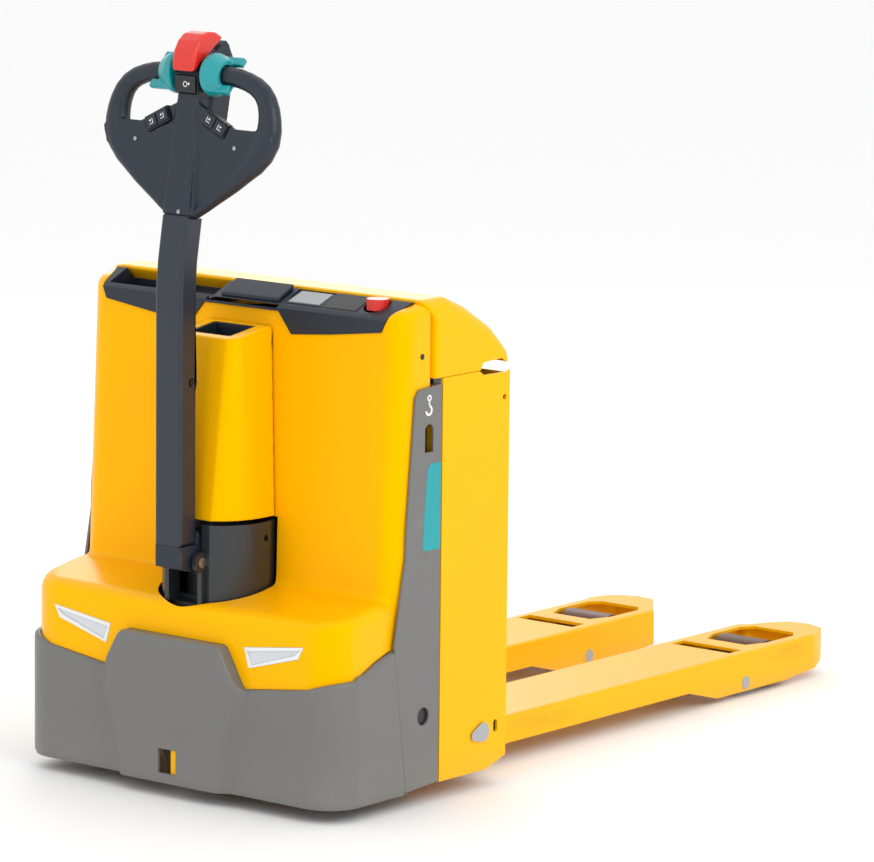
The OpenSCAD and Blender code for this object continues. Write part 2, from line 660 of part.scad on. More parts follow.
module tiller_screws() color([0.9, 0.9, 0.92]) at_heel() {
    both() translate([111, head_y + 24.7, head_z + 121]) rotate([83, 0, 0]) cylinder(r = 3.5, h = 1.5);
    translate([8, head_y + 0.8, head_z + 8]) rotate([81, 0, 0]) cylinder(r = 3.5, h = 1.5);
    bar_x([arm_w / 2 - 3, arm_w / 2 - 0.5], arm_y + arm_d - 12, 720, 4.6);
}

module travel_rocker() color(teal) at_heel() translate([0, rocker_axis[0], rocker_axis[1]]) {
    // Yoke over the hub
    block([-34, 34], [-4, 4], yoke_r);
    both() {
        rotate([0, 90, 0]) translate([0, 0, 33]) difference() {
            rotate_extrude() polygon([[hub_r + run, 0], [35, 0], [37, 3], [37, 12], [30, 26], [26, 34],
                [hub_r + run, 34]]);
            translate([0, 0, 20]) cylinder(r = grip_d / 2 + 2, h = 20);
        }
        // Thumb wings
        for (a = [-40, 140]) rotate([a, 0, 0]) block([46, 88], [-5, 5], [20.5, 36]);
    }
}

module belly_button() color(red) at_heel() difference() {
    side_view([-25, 25], [[head_y + 18, head_top + 5], [head_y + 20, head_top + 26], [head_y + 34, head_top + 52],
        [head_y + 52, head_top + 69], [head_y + 66, head_top + 72], [head_y + 82, head_top + 69],
        [head_y + 92, head_top + 63], [head_y + 81, head_top + 53], [head_y + 28, head_top + 14]]);
    on_button() block([-20.5, 20.5], [-22.5, 22.5], [-10, 17]);
    // Room over the yoke when the button is pushed
    bar_x([-26, 26], rocker_axis[0], rocker_axis[1], yoke_r[1] + button_push + 0.8);
}

// --- Castors ---

module castor_fork() color(steel) at_heel() {
    post(castor_x, castor_y, [castor_plate_z - 6, castor_plate_z + 13], 12);
    post(castor_x, castor_y, [castor_plate_z - 6, castor_plate_z], 28);
    for (s = [-1, 1]) side_view([castor_x + s * (castor_w / 2 + 5) - 2.5, castor_x + s * (castor_w / 2 + 5) + 2.5],
            [[castor_y + 24, castor_plate_z], [castor_y - 26, castor_plate_z],
            [castor_y - castor_trail - 11, castor_d / 2], [castor_y - castor_trail - 6, castor_d / 2 - 9],
            [castor_y - castor_trail + 6, castor_d / 2 - 9], [castor_y - castor_trail + 12, castor_d / 2]]);
    block([castor_x - castor_w / 2 - 7.5, castor_x + castor_w / 2 + 7.5], [castor_y - 26, castor_y + 24],
        [castor_plate_z - 6, castor_plate_z]);
    bar_x([castor_x - castor_w / 2 - 9, castor_x + castor_w / 2 + 9], castor_y - castor_trail, castor_d / 2, 6);
}
module castor_fork_left() mirror([1, 0, 0]) castor_fork();
module castor_fork_right() castor_fork();

module castor_wheel() color([0.12, 0.12, 0.12]) at_heel() difference() {
    union() {
        bar_x([castor_x - castor_w / 2 + 3, castor_x + castor_w / 2 - 3], castor_y - castor_trail, castor_d / 2,
            castor_d / 2);
        bar_x([castor_x - castor_w / 2, castor_x + castor_w / 2], castor_y - castor_trail, castor_d / 2,
            castor_d / 2 - 3);
    }
    bar_x([castor_x - castor_w, castor_x + castor_w], castor_y - castor_trail, castor_d / 2, 6 + run);
}
module castor_wheel_left() mirror([1, 0, 0]) castor_wheel();
module castor_wheel_right() castor_wheel();

// --- Load section ---

module load_frame() color(yellow) at_heel() {
    both() difference() {
        side_view([side_x - plate_t, side_x], [[load_y, skirt_z + 8], [-55, skirt_z + 8], [0, 50], [0, panel_top - 6],
            [-12, panel_top - 9], [-20, panel_top - 9], [-72, panel_top - 8], [-84, panel_top], [load_y, panel_top]]);
        bar_x([side_x - 10, side_x + 1], rocker_y, rocker_z, 12.5 + run);
        for (z = [101, 111]) bar_x([side_x - 10, side_x + 1], -29, z, 6);
        block([side_x - 10, side_x + 1], [-34.8, -23.2], [101, 111]);
        bar_x([side_x - 10, side_x + 1], -14, 681, 5);
    }
    // Front plate, heel plate and battery floor
    block([-side_x + plate_t, side_x - plate_t], [load_y, load_y + 6], [floor_z, panel_top - 14]);
    difference() {
        block([-side_x + plate_t, side_x - plate_t], [-6, 0], [52, panel_top - 10]);
        both() block([fork_x - fork_w / 2 - 1, fork_x + fork_w / 2 + 1], [-7, 1], [0, fork_top + 0.5]);
    }
    block([-side_x + plate_t, side_x - plate_t], [load_y + 6, -6], [floor_z, floor_z + 6]);
    // Bracket on the lift ram
    block([-24, 24], [ram_y - ram_r - 4, load_y], [560, 572]);
    block([-5, 5], [ram_y, load_y], [572, 600]);
    // Webs that tie the fork channels to the battery floor
    both() for (x = [fork_x - fork_w / 2, fork_x + fork_w / 2 - 6]) difference() {
        block([x, x + 6], [load_y + 8, -6], [fork_top - 2, floor_z]);
        bar_x([x - 1, x + 7], rocker_y, rocker_z, 12.5 + run);
    }
}

// Plan of a fork's tip: straight inner side, bevelled nose
function tip_plan(t) = [[-fork_w / 2 + t, tip_y - 10], [fork_w / 2 - t, tip_y - 10],
    [fork_w / 2 - t, fork_end - 80], [fork_w / 2 - 10 - t / 2, fork_end - 40], [fork_w / 2 - 26, fork_end - 16 - t / 3],
    [20, fork_end - t], [-20, fork_end - 6 - t], [-41, fork_end - 33 - t],
    [-fork_w / 2 + 17 + t / 2, fork_end - 87 - t / 2], [-fork_w / 2 + t, fork_end - 92]];
function tip_side() = [[tip_y, fork_top - fork_depth], [tip_y + 6, fork_top - fork_depth - 2],
    [tip_y + 87, pivot_z - 16], [axle_y + 19, pivot_z - 16], [axle_y + 53, pivot_z - 12],
    [axle_y + 119, pivot_z - 8], [fork_end - 25, 34], [fork_end + 1, 44], [fork_end + 1, fork_top], [tip_y, fork_top]];

module fork() at_heel() translate([fork_x, 0, 0]) {
    w = fork_w / 2;
    top = fork_top - fork_wall;
    color(yellow) difference() {
        union() {
            block([-w, w], [0, tip_y + 30], [fork_top - fork_depth, fork_top]);
            block([-w, w], [load_y + 8, 1], [fork_top - fork_depth, fork_top - 2]);
            intersection() {
                linear_extrude(height = fork_top) polygon(tip_plan(0));
                side_view([-w, w], tip_side());
            }
        }
        block([-w + fork_wall, w - fork_wall], [load_y, tip_y + 31], [0, top - 0.01]);
        translate([0, 0, -1]) linear_extrude(height = top + 1) polygon(tip_plan(fork_wall));
        // Window over the roller
        translate([0, axle_y + 17, -1]) linear_extrude(height = fork_top + 2) polygon([for (p = [[-window_end / 2, -1],
            [window_end / 2, -1], [window_w / 2, -0.44], [window_w / 2, 0.7], [window_end / 2, 1],
            [-window_end / 2, 1], [-window_w / 2, 0.7], [-window_w / 2, -0.44]]) [p[0], p[1] * window_len / 2]]);
        // Cross slot in the top
        block([-w + 19, w - 19], slot_y, [top - 1, fork_top + 1]);
        // Slot for the rocker's crank
        block([-15, 15], [rocker_y - 42, rocker_y + 42], [top - 1, fork_top + 1]);
        bar_x([-w - 1, w + 1], pivot_y, pivot_z, pivot_d / 2);
    }
}
module fork_left() mirror([1, 0, 0]) fork();
module fork_right() fork();

module battery() at_heel() color([0.2, 0.21, 0.22]) {
    block([-side_x + 35, side_x - 35], [load_y + 16, -22], [floor_z + 6, floor_z + 586]);
    // Terminals and plug
    both() post(250, load_y / 2, [floor_z + 586, floor_z + 598], 12);
    block([-50, 30], [load_y / 2 - 20, load_y / 2 + 20], [floor_z + 586, floor_z + 606]);
}

module pivot_pins() color([0.85, 0.86, 0.88]) at_heel() both() {
    // Lever pins through the fork tips
    translate([fork_x, 0, 0]) bar_x([-fork_w / 2 - 0.5, fork_w / 2 + 0.5], pivot_y, pivot_z, pivot_d / 2);
    // Lock plates over the rocker's bearings
    link_x([side_x + 0.2, side_x + 4], [rocker_y, rocker_z], [rocker_y - 22, rocker_z - 3], 17, 9);
}

module lift_ram() color(steel) at_heel() post(0, ram_y, [deck_z + 34, 560], ram_r);

// Battery hood's side view, inset by t
function lid_profile(t) = [[hood_y + t, panel_top + 1 - t], [hood_y + t, hood_z - 33], [hood_y - 28 + 1.2 * t, hood_z - t],
    [hood_y + 42, hood_z - t], [-110, hood_z - 22 - t], [-40 - t / 2, hood_z - 63 - t], [-10 - t, hood_z - 94],
    [-t, panel_top + 12], [-t, panel_top + 9 - t]];

module battery_hood() color(yellow) at_heel() difference() {
    side_view([-side_x + 1, side_x - 1], lid_profile(0));
    side_view([-side_x + 1 + cover_t, side_x - 1 - cover_t], lid_profile(cover_t));
    // Finger recess along both sides at the rear
    both() side_view([side_x - 20, side_x + 1], [[-82, panel_top], [-72, panel_top + 14], [-20, panel_top + 16],
        [-10, panel_top + 8], [1, panel_top + 8], [1, panel_top]]);
    block([-side_x, side_x], [-30, 2], [panel_top, panel_top + 8]);
}

// --- Lift linkage ---

module lift_rocker() color(steel) at_heel() {
    bar_x([-side_x, side_x], rocker_y, rocker_z, 12.5);
    both() {
        link_x([fork_x + 6, fork_x + 13], [rocker_y, rocker_z], [rocker_pin_y, rocker_pin_z], 17, 11);
        bar_x([fork_x - 6, fork_x + 7], rocker_pin_y, rocker_pin_z, 6);
    }
}

module push_rods() color(steel) at_heel() both() {
    difference() {
        union() {
            bar_x([fork_x - 5, fork_x + 5], rocker_pin_y, rocker_pin_z, 12);
            translate([fork_x, 0, 0]) side_view([-5, 5], [[rocker_pin_y, rocker_pin_z - 9],
                [rod_pin_y - 40, rod_pin_z - 4.5], [rod_pin_y - 16, rod_pin_z - 4.5],
                [rod_pin_y - 16, rod_pin_z + 14], [rocker_pin_y, rocker_pin_z + 9]]);
            // Hook that drops over the lever's pin
            block([fork_x - 5, fork_x + 5], [rod_pin_y - 17, rod_pin_y + 13],
                [rod_pin_z - 4.5, rod_pin_z + rod_hook + 6]);
        }
        bar_x([fork_x - 6, fork_x + 6], rocker_pin_y, rocker_pin_z, 6 + run);
        block([fork_x - 6, fork_x + 6], [rod_pin_y - 6.8, rod_pin_y + 6.8],
            [rod_pin_z - 10, rod_pin_z + rod_hook]);
    }
}

module load_lever() color(steel) at_heel() translate([fork_x, 0, 0]) difference() {
    union() {
        both() {
            link_x([roller_w / 2 + 3, roller_w / 2 + 13], [pivot_y, pivot_z], [axle_y, axle_z], 16, 15);
            link_x([7, 14], [pivot_y, pivot_z], [rod_pin_y, rod_pin_z], 16, 10);
        }
        bar_x([-roller_w / 2 - 13, roller_w / 2 + 13], pivot_y, pivot_z, 15.5);
        bar_x([-14, 14], rod_pin_y, rod_pin_z, 6);
        bar_x([-roller_w / 2 - 13, roller_w / 2 + 13], axle_y, axle_z, 10);
    }
    bar_x([-fork_w, fork_w], pivot_y, pivot_z, pivot_d / 2 + run);
}
module load_lever_left() mirror([1, 0, 0]) load_lever();
module load_lever_right() load_lever();

module load_roller() color([0.45, 0.3, 0.2]) at_heel() translate([fork_x, 0, 0]) difference() {
    union() {
        bar_x([-roller_w / 2 + 3, roller_w / 2 - 3], axle_y, axle_z, roller_d / 2);
        bar_x([-roller_w / 2, roller_w / 2], axle_y, axle_z, roller_d / 2 - 3);
    }
    bar_x([-roller_w, roller_w], axle_y, axle_z, 10 + run);
}
module load_roller_left() mirror([1, 0, 0]) load_roller();
module load_roller_right() load_roller();

chassis();
bumper();
side_plate_left();
side_plate_right();
front_hood();
console();
column_cover();
pocket_liner();
headlight_bezels();
headlight_lenses();
display();
estop_collar();
slewing_ring_outer();
hydraulic_pump();
lift_cylinder();
controller();
hood_screws();
storage_lid();
estop_knob();
turret();
slewing_ring_inner();
gearbox();
drive_motor();
tiller_pin();
tiller_spring();
wheel_hub();
wheel_tyre();
tiller_arm();
tiller_cover();
head_front();
head_back();
grip_left();
grip_right();
key_panels();
tiller_screws();
travel_rocker();
belly_button();
crawl_button();
key_lift_left();
key_lower_left();
key_lift_right();
key_lower_right();
castor_fork_left();
castor_fork_right();
castor_wheel_left();
castor_wheel_right();
load_frame();
fork_left();
fork_right();
battery();
pivot_pins();
lift_ram();
battery_hood();
lift_rocker();
push_rods();
load_lever_left();
load_lever_right();
load_roller_left();
load_roller_right();
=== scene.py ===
"""Looks of an electric pallet truck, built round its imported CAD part.

Lengths along the truck are given from the fork heel, in millimetres, as in the part's own source.
"""

import json
import math

import bmesh
import bpy
from mathutils import Matrix, Vector


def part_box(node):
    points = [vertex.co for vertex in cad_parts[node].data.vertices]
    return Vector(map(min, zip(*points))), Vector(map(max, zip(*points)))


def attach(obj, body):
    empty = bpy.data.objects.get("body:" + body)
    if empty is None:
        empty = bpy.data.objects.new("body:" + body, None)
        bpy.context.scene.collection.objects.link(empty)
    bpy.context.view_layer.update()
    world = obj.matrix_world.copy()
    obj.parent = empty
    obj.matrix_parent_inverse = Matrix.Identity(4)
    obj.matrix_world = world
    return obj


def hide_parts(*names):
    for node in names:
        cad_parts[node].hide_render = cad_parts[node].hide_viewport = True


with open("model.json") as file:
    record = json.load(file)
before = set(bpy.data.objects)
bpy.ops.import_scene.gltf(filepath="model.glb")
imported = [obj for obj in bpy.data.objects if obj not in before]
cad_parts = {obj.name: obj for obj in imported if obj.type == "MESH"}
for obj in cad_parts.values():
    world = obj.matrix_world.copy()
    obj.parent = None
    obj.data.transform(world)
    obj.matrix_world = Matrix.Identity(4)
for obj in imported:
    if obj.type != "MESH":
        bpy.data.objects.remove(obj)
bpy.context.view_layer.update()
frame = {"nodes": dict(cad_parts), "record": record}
NODES = frame["nodes"]
BODY_OF = {n: b for b, ns in frame["record"]["behaviour"]["bodies"].items() for n in ns}
MM = 0.001
HEEL = -335.0  # the fork heel's y in the frame
SIDE = 360.0  # half the width over the side plates
MERGE = 0.00003  # corners nearer to each other than this, in metres, become one
FLAT = 0.6  # faces that turn by less, in degrees, become one
SHARP = 38  # edges that turn by more, in degrees, stay sharp to the eye


def at(x, y, z):
    """A point in metres from millimetres, with y counted from the fork heel."""
    return Vector((x * MM, (y + HEEL) * MM, z * MM))


# ---------------------------------------------------------------- shader groups

def new_group(name, inputs, outputs):
    group = bpy.data.node_groups.new(name, "ShaderNodeTree")
    for label, kind, value in inputs:
        socket = group.interface.new_socket(name=label, in_out="INPUT", socket_type="NodeSocket" + kind)
        if value is not None:
            socket.default_value = value
    for label, kind in outputs:
        group.interface.new_socket(name=label, in_out="OUTPUT", socket_type="NodeSocket" + kind)
    return group, group.nodes.new("NodeGroupInput"), group.nodes.new("NodeGroupOutput")


def add(tree, kind, **values):
    node = tree.nodes.new(kind)
    for key, value in values.items():
        if hasattr(node, key):
            setattr(node, key, value)
        else:
            node.inputs[key.replace("_", " ")].default_value = value
    return node


def build_shade_group():
    """Slow variation of colour and roughness over a painted or moulded face."""
    g, i, o = new_group("shade_variation",
                        [("Color", "Color", (0.5, 0.5, 0.5, 1)), ("Roughness", "Float", 0.4),
                         ("Scale", "Float", 6.0), ("Amount", "Float", 0.1)],
                        [("Color", "Color"), ("Roughness", "Float")])
    place = add(g, "ShaderNodeTexCoord")
    noise = add(g, "ShaderNodeTexNoise", Detail=4.0, Roughness=0.6)
    g.links.new(place.outputs["Object"], noise.inputs["Vector"])
    g.links.new(i.outputs["Scale"], noise.inputs["Scale"])
    centre = add(g, "ShaderNodeMath", operation="SUBTRACT")
    g.links.new(noise.outputs["Fac"], centre.inputs[0])
    centre.inputs[1].default_value = 0.5
    amount = add(g, "ShaderNodeMath", operation="MULTIPLY")
    g.links.new(centre.outputs[0], amount.inputs[0])
    g.links.new(i.outputs["Amount"], amount.inputs[1])
    bright = add(g, "ShaderNodeMath", operation="ADD")
    bright.inputs[1].default_value = 1.0
    g.links.new(amount.outputs[0], bright.inputs[0])
    hue = add(g, "ShaderNodeHueSaturation")
    g.links.new(i.outputs["Color"], hue.inputs["Color"])
    g.links.new(bright.outputs[0], hue.inputs["Value"])
    g.links.new(hue.outputs["Color"], o.inputs["Color"])
    rough = add(g, "ShaderNodeMath", operation="ADD", use_clamp=True)
    g.links.new(i.outputs["Roughness"], rough.inputs[0])
    g.links.new(amount.outputs[0], rough.inputs[1])
    g.links.new(rough.outputs[0], o.inputs["Roughness"])
    return g


def build_grain_group():
    """Fine leather-like grain of moulded plastic, or the soft peel of powder coat."""
    g, i, o = new_group("surface_grain",
                        [("Scale", "Float", 900.0), ("Depth", "Float", 0.2), ("Peel", "Float", 0.0)],
                        [("Normal", "Vector")])
    place = add(g, "ShaderNodeTexCoord")
    cells = add(g, "ShaderNodeTexVoronoi", feature="SMOOTH_F1")
    g.links.new(place.outputs["Object"], cells.inputs["Vector"])
    g.links.new(i.outputs["Scale"], cells.inputs["Scale"])
    waves = add(g, "ShaderNodeTexNoise", Scale=220.0, Detail=2.0)
    g.links.new(place.outputs["Object"], waves.inputs["Vector"])
    mix = add(g, "ShaderNodeMix", data_type="FLOAT")
    g.links.new(i.outputs["Peel"], mix.inputs[0])
    g.links.new(cells.outputs["Distance"], mix.inputs[2])
    g.links.new(waves.outputs["Fac"], mix.inputs[3])
    bump = add(g, "ShaderNodeBump", Distance=0.0004)
    g.links.new(i.outputs["Depth"], bump.inputs["Strength"])
    g.links.new(mix.outputs[0], bump.inputs["Height"])
    g.links.new(bump.outputs["Normal"], o.inputs["Normal"])
    return g


def build_scuff_group():
    """Sparse rubbed streaks, such as pallets leave on forks and skirts."""
    g, i, o = new_group("scuff_marks",
                        [("Stretch", "Vector", (40.0, 3.0, 40.0)), ("Cover", "Float", 0.3),
                         ("Strength", "Float", 1.0)],
                        [("Mask", "Float")])
    place = add(g, "ShaderNodeTexCoord")
    scale = add(g, "ShaderNodeVectorMath", operation="MULTIPLY")
    g.links.new(place.outputs["Object"], scale.inputs[0])
    g.links.new(i.outputs["Stretch"], scale.inputs[1])
    streak = add(g, "ShaderNodeTexNoise", Scale=1.0, Detail=6.0, Roughness=0.7)
    g.links.new(scale.outputs[0], streak.inputs["Vector"])
    patch = add(g, "ShaderNodeTexNoise", Scale=5.0, Detail=2.0)
    g.links.new(place.outputs["Object"], patch.inputs["Vector"])
    both = add(g, "ShaderNodeMath", operation="MULTIPLY")
    g.links.new(streak.outputs["Fac"], both.inputs[0])
    g.links.new(patch.outputs["Fac"], both.inputs[1])
    low = add(g, "ShaderNodeMath", operation="SUBTRACT")
    low.inputs[0].default_value = 0.46
    g.links.new(i.outputs["Cover"], low.inputs[1])
    step = add(g, "ShaderNodeMapRange")
    g.links.new(both.outputs[0], step.inputs["Value"])
    g.links.new(low.outputs[0], step.inputs["From Min"])
    step.inputs["From Max"].default_value = 0.5
    out = add(g, "ShaderNodeMath", operation="MULTIPLY", use_clamp=True)
    g.links.new(step.outputs["Result"], out.inputs[0])
    g.links.new(i.outputs["Strength"], out.inputs[1])
    g.links.new(out.outputs[0], o.inputs["Mask"])
    return g


def build_dust_group():
    """Grey floor dust that thins out with height."""
    g, i, o = new_group("floor_dust",
                        [("Color", "Color", (0.5, 0.5, 0.5, 1)), ("Dust", "Color", (0.3, 0.28, 0.25, 1)),
                         ("Height", "Float", 0.12), ("Amount", "Float", 0.3)],
                        [("Color", "Color")])
    place = add(g, "ShaderNodeTexCoord")
    split = add(g, "ShaderNodeSeparateXYZ")
    g.links.new(place.outputs["Object"], split.inputs[0])
    fade = add(g, "ShaderNodeMapRange", interpolation_type="SMOOTHSTEP")
    g.links.new(split.outputs["Z"], fade.inputs["Value"])
    g.links.new(i.outputs["Height"], fade.inputs["From Min"])
    fade.inputs["From Max"].default_value = 0.0
    cloud = add(g, "ShaderNodeTexNoise", Scale=30.0, Detail=5.0)
    g.links.new(place.outputs["Object"], cloud.inputs["Vector"])
    mask = add(g, "ShaderNodeMath", operation="MULTIPLY")
    g.links.new(fade.outputs["Result"], mask.inputs[0])
    g.links.new(cloud.outputs["Fac"], mask.inputs[1])
    strength = add(g, "ShaderNodeMath", operation="MULTIPLY", use_clamp=True)
    g.links.new(mask.outputs[0], strength.inputs[0])
    g.links.new(i.outputs["Amount"], strength.inputs[1])
    mix = add(g, "ShaderNodeMix", data_type="RGBA")
    g.links.new(strength.outputs[0], mix.inputs[0])
    g.links.new(i.outputs["Color"], mix.inputs[6])
    g.links.new(i.outputs["Dust"], mix.inputs[7])
    g.links.new(mix.outputs[2], o.inputs["Color"])
    return g


SHADE, GRAIN = build_shade_group(), build_grain_group()
SCUFF, DUST = build_scuff_group(), build_dust_group()


# ---------------------------------------------------------------- materials

def finish_of(name, color, rough, metal=0.0, grain=(900.0, 0.15, 0.0), vary=0.08, scale=6.0,
              coat=0.0, coat_rough=0.2, scuff=None, worn=(0.3, 0.3, 0.3), dust=None, specular=0.5,
              tint=(1, 1, 1)):
    """A Principled finish with slow variation, and where asked grain, scuffs and floor dust.

    grain is (scale, depth, peel), scuff is (stretch, cover, strength) and dust is (height in metres, amount).
    """
    mat = bpy.data.materials.new(name)
    mat.use_nodes = True
    tree = mat.node_tree
    shader = tree.nodes["Principled BSDF"]
    shader.inputs["Coat Weight"].default_value = coat
    shader.inputs["Coat Roughness"].default_value = coat_rough
    shader.inputs["Specular IOR Level"].default_value = specular
    shader.inputs["Specular Tint"].default_value = (*tint, 1)
    shader.inputs["Metallic"].default_value = metal
    shade = add(tree, "ShaderNodeGroup", node_tree=SHADE, Color=(*color, 1), Roughness=rough, Scale=scale,
                Amount=vary)
    colour = shade.outputs["Color"]
    if scuff:
        marks = add(tree, "ShaderNodeGroup", node_tree=SCUFF, Stretch=scuff[0], Cover=scuff[1],
                    Strength=scuff[2])
        mix = add(tree, "ShaderNodeMix", data_type="RGBA")
        tree.links.new(marks.outputs["Mask"], mix.inputs[0])
        tree.links.new(colour, mix.inputs[6])
        mix.inputs[7].default_value = (*worn, 1)
        colour = mix.outputs[2]
    if dust:
        film = add(tree, "ShaderNodeGroup", node_tree=DUST, Height=dust[0], Amount=dust[1])
        tree.links.new(colour, film.inputs["Color"])
        colour = film.outputs["Color"]
    tree.links.new(colour, shader.inputs["Base Color"])
    tree.links.new(shade.outputs["Roughness"], shader.inputs["Roughness"])
    if grain:
        skin = add(tree, "ShaderNodeGroup", node_tree=GRAIN, Scale=grain[0], Depth=grain[1], Peel=grain[2])
        tree.links.new(skin.outputs["Normal"], shader.inputs["Normal"])
    return mat


def brushed(name, color, rough, stretch):
    """Turned or drawn metal: fine lines along one direction."""
    mat = finish_of(name, color, rough, metal=1.0, grain=None, vary=0.12, scale=20.0)
    tree = mat.node_tree
    place = add(tree, "ShaderNodeTexCoord")
    lines = add(tree, "ShaderNodeMapping")
    lines.inputs["Scale"].default_value = stretch
    noise = add(tree, "ShaderNodeTexNoise", Scale=60.0, Detail=3.0)
    bump = add(tree, "ShaderNodeBump", Distance=0.0002, Strength=0.25)
    tree.links.new(place.outputs["Object"], lines.inputs["Vector"])
    tree.links.new(lines.outputs[0], noise.inputs["Vector"])
    tree.links.new(noise.outputs["Fac"], bump.inputs["Height"])
    tree.links.new(bump.outputs["Normal"], tree.nodes["Principled BSDF"].inputs["Normal"])
    return mat


YELLOW = (1.0, 0.49, 0.0)
GLOW = (1.0, 0.5, 0.0)  # tint of the yellow finishes' highlights
M = {
    "yellow_paint": finish_of("yellow powder coat", YELLOW, 0.33, grain=(700.0, 0.06, 1.0), vary=0.05,
                              dust=(0.09, 0.2), tint=GLOW),
    "fork_paint": finish_of("yellow fork paint", YELLOW, 0.30, grain=(700.0, 0.08, 1.0), vary=0.06,
                            tint=GLOW, scuff=((60.0, 4.0, 30.0), 0.12, 0.35),
                            worn=(0.62, 0.25, 0.02), dust=(0.05, 0.3)),
    "yellow_cover": finish_of("yellow painted cover", YELLOW, 0.3, grain=(700.0, 0.05, 1.0), vary=0.04,
                              specular=0.6, tint=GLOW),
    "grey_paint": finish_of("grey powder coat", (0.155, 0.155, 0.15), 0.42, grain=(900.0, 0.12, 1.0), vary=0.06,
                            scuff=((6.0, 6.0, 40.0), 0.10, 0.3), worn=(0.33, 0.33, 0.33), dust=(0.14, 0.35)),
    "slate_plastic": finish_of("slate moulded plastic", (0.007, 0.014, 0.026), 0.42,
                               grain=(1300.0, 0.22, 0.0)),
    "slate_smooth": finish_of("slate painted aluminium", (0.008, 0.015, 0.028), 0.36, grain=(900.0, 0.06, 1.0),
                              vary=0.05, coat=0.2),
    "pot_casting": finish_of("dark grey casting", (0.018, 0.021, 0.023), 0.36, grain=(500.0, 0.16, 1.0),
                             coat=0.15),
    "black_plastic": finish_of("black satin plastic", (0.012, 0.012, 0.014), 0.38, grain=(1300.0, 0.12, 0.0)),
    "display_glass": finish_of("display glass", (0.30, 0.32, 0.34), 0.12, grain=None, vary=0.05, scale=30.0,
                               coat=0.6, coat_rough=0.05),
    "white_plastic": finish_of("white gloss plastic", (0.80, 0.80, 0.80), 0.25, grain=None, vary=0.03,
                               coat=0.4),
    "lens": finish_of("clear ribbed lens", (0.62, 0.65, 0.68), 0.16, grain=(160.0, 0.5, 0.0), vary=0.05,
                      coat=0.8, coat_rough=0.05),
    "rubber": finish_of("black tread rubber", (0.018, 0.018, 0.018), 0.75, grain=(500.0, 0.35, 0.0), vary=0.15,
                        dust=(0.23, 0.5), specular=0.3),
    "roller_pu": finish_of("brown polyurethane", (0.11, 0.045, 0.02), 0.38, grain=(300.0, 0.2, 0.5), vary=0.12,
                           scale=25.0, coat=0.05, specular=0.3),
    "teal_plastic": finish_of("teal gloss plastic", (0.0, 0.30, 0.32), 0.30, grain=(1300.0, 0.08, 0.0),
                              vary=0.04, coat=0.3),
    "red_plastic": finish_of("red gloss plastic", (0.70, 0.016, 0.006), 0.32, grain=(1300.0, 0.06, 0.0), vary=0.04,
                             coat=0.35),
    "motor_black": finish_of("black machine enamel", (0.02, 0.02, 0.022), 0.40, grain=(400.0, 0.2, 1.0), vary=0.1),
    "cast_housing": finish_of("grey cast housing", (0.09, 0.09, 0.095), 0.55, grain=(300.0, 0.6, 0.6), vary=0.15),
    "battery_case": finish_of("battery case", (0.06, 0.06, 0.065), 0.5, grain=(600.0, 0.2, 0.3), vary=0.1),
    "steel": brushed("machined steel", (0.50, 0.50, 0.52), 0.32, (1.0, 30.0, 30.0)),
    "zinc": brushed("zinc plated steel", (0.45, 0.46, 0.48), 0.34, (8.0, 8.0, 8.0)),
    "aluminium": brushed("drawn aluminium", (0.62, 0.63, 0.65), 0.36, (30.0, 30.0, 1.0)),
    "white_print": finish_of("white print", (0.78, 0.78, 0.76), 0.45, grain=None, vary=0.03),
    "teal_print": finish_of("teal label", (0.0, 0.33, 0.36), 0.35, grain=None, vary=0.04),
}

FINISH = {
    "chassis": "yellow_paint", "bumper": "grey_paint", "side_plate_left": "grey_paint",
    "side_plate_right": "grey_paint",
    "front_hood": "yellow_cover", "console": "slate_plastic", "column_cover": "yellow_cover",
    "pocket_liner": "slate_plastic", "headlight_bezels": "white_plastic", "headlight_lenses": "lens",
    "display": "black_plastic", "estop_collar": "yellow_cover", "slewing_ring_outer": "steel",
    "hydraulic_pump": "motor_black", "lift_cylinder": "motor_black", "controller": "aluminium",
    "hood_screws": "black_plastic", "storage_lid": "slate_plastic", "estop_knob": "red_plastic",
    "turret": "pot_casting", "slewing_ring_inner": "steel", "gearbox": "cast_housing", "drive_motor": "motor_black",
    "tiller_pin": "steel", "tiller_spring": "steel", "wheel_hub": "cast_housing", "wheel_tyre": "rubber",
    "tiller_arm": "slate_smooth", "tiller_cover": "slate_plastic", "head_front": "slate_plastic",
    "head_back": "slate_plastic", "grip_left": "slate_plastic", "grip_right": "slate_plastic",
    "key_panels": "black_plastic", "tiller_screws": "zinc", "travel_rocker": "teal_plastic",
    "belly_button": "red_plastic", "crawl_button": "black_plastic", "castor_fork_left": "zinc",
    "castor_fork_right": "zinc", "castor_wheel_left": "rubber", "castor_wheel_right": "rubber",
    "load_frame": "yellow_paint", "fork_left": "fork_paint", "fork_right": "fork_paint", "battery": "battery_case",
    "pivot_pins": "zinc", "lift_ram": "steel", "battery_hood": "yellow_cover", "lift_rocker": "steel",
    "push_rods": "steel", "load_lever_left": "cast_housing", "load_lever_right": "cast_housing",
    "load_roller_left": "roller_pu", "load_roller_right": "roller_pu",
}


def paint(piece, finish):
    piece.data.materials.clear()
    piece.data.materials.append(M[finish])


for node, piece in NODES.items():
    paint(piece, FINISH.get(node, "slate_plastic"))


# ---------------------------------------------------------------- modelling helpers

def clear_selection():
    if bpy.context.object and bpy.context.object.mode != "OBJECT":
        bpy.ops.object.mode_set(mode="OBJECT")
    bpy.ops.object.select_all(action="DESELECT")


def pick(piece):
    clear_selection()
    piece.select_set(True)
    bpy.context.view_layer.objects.active = piece


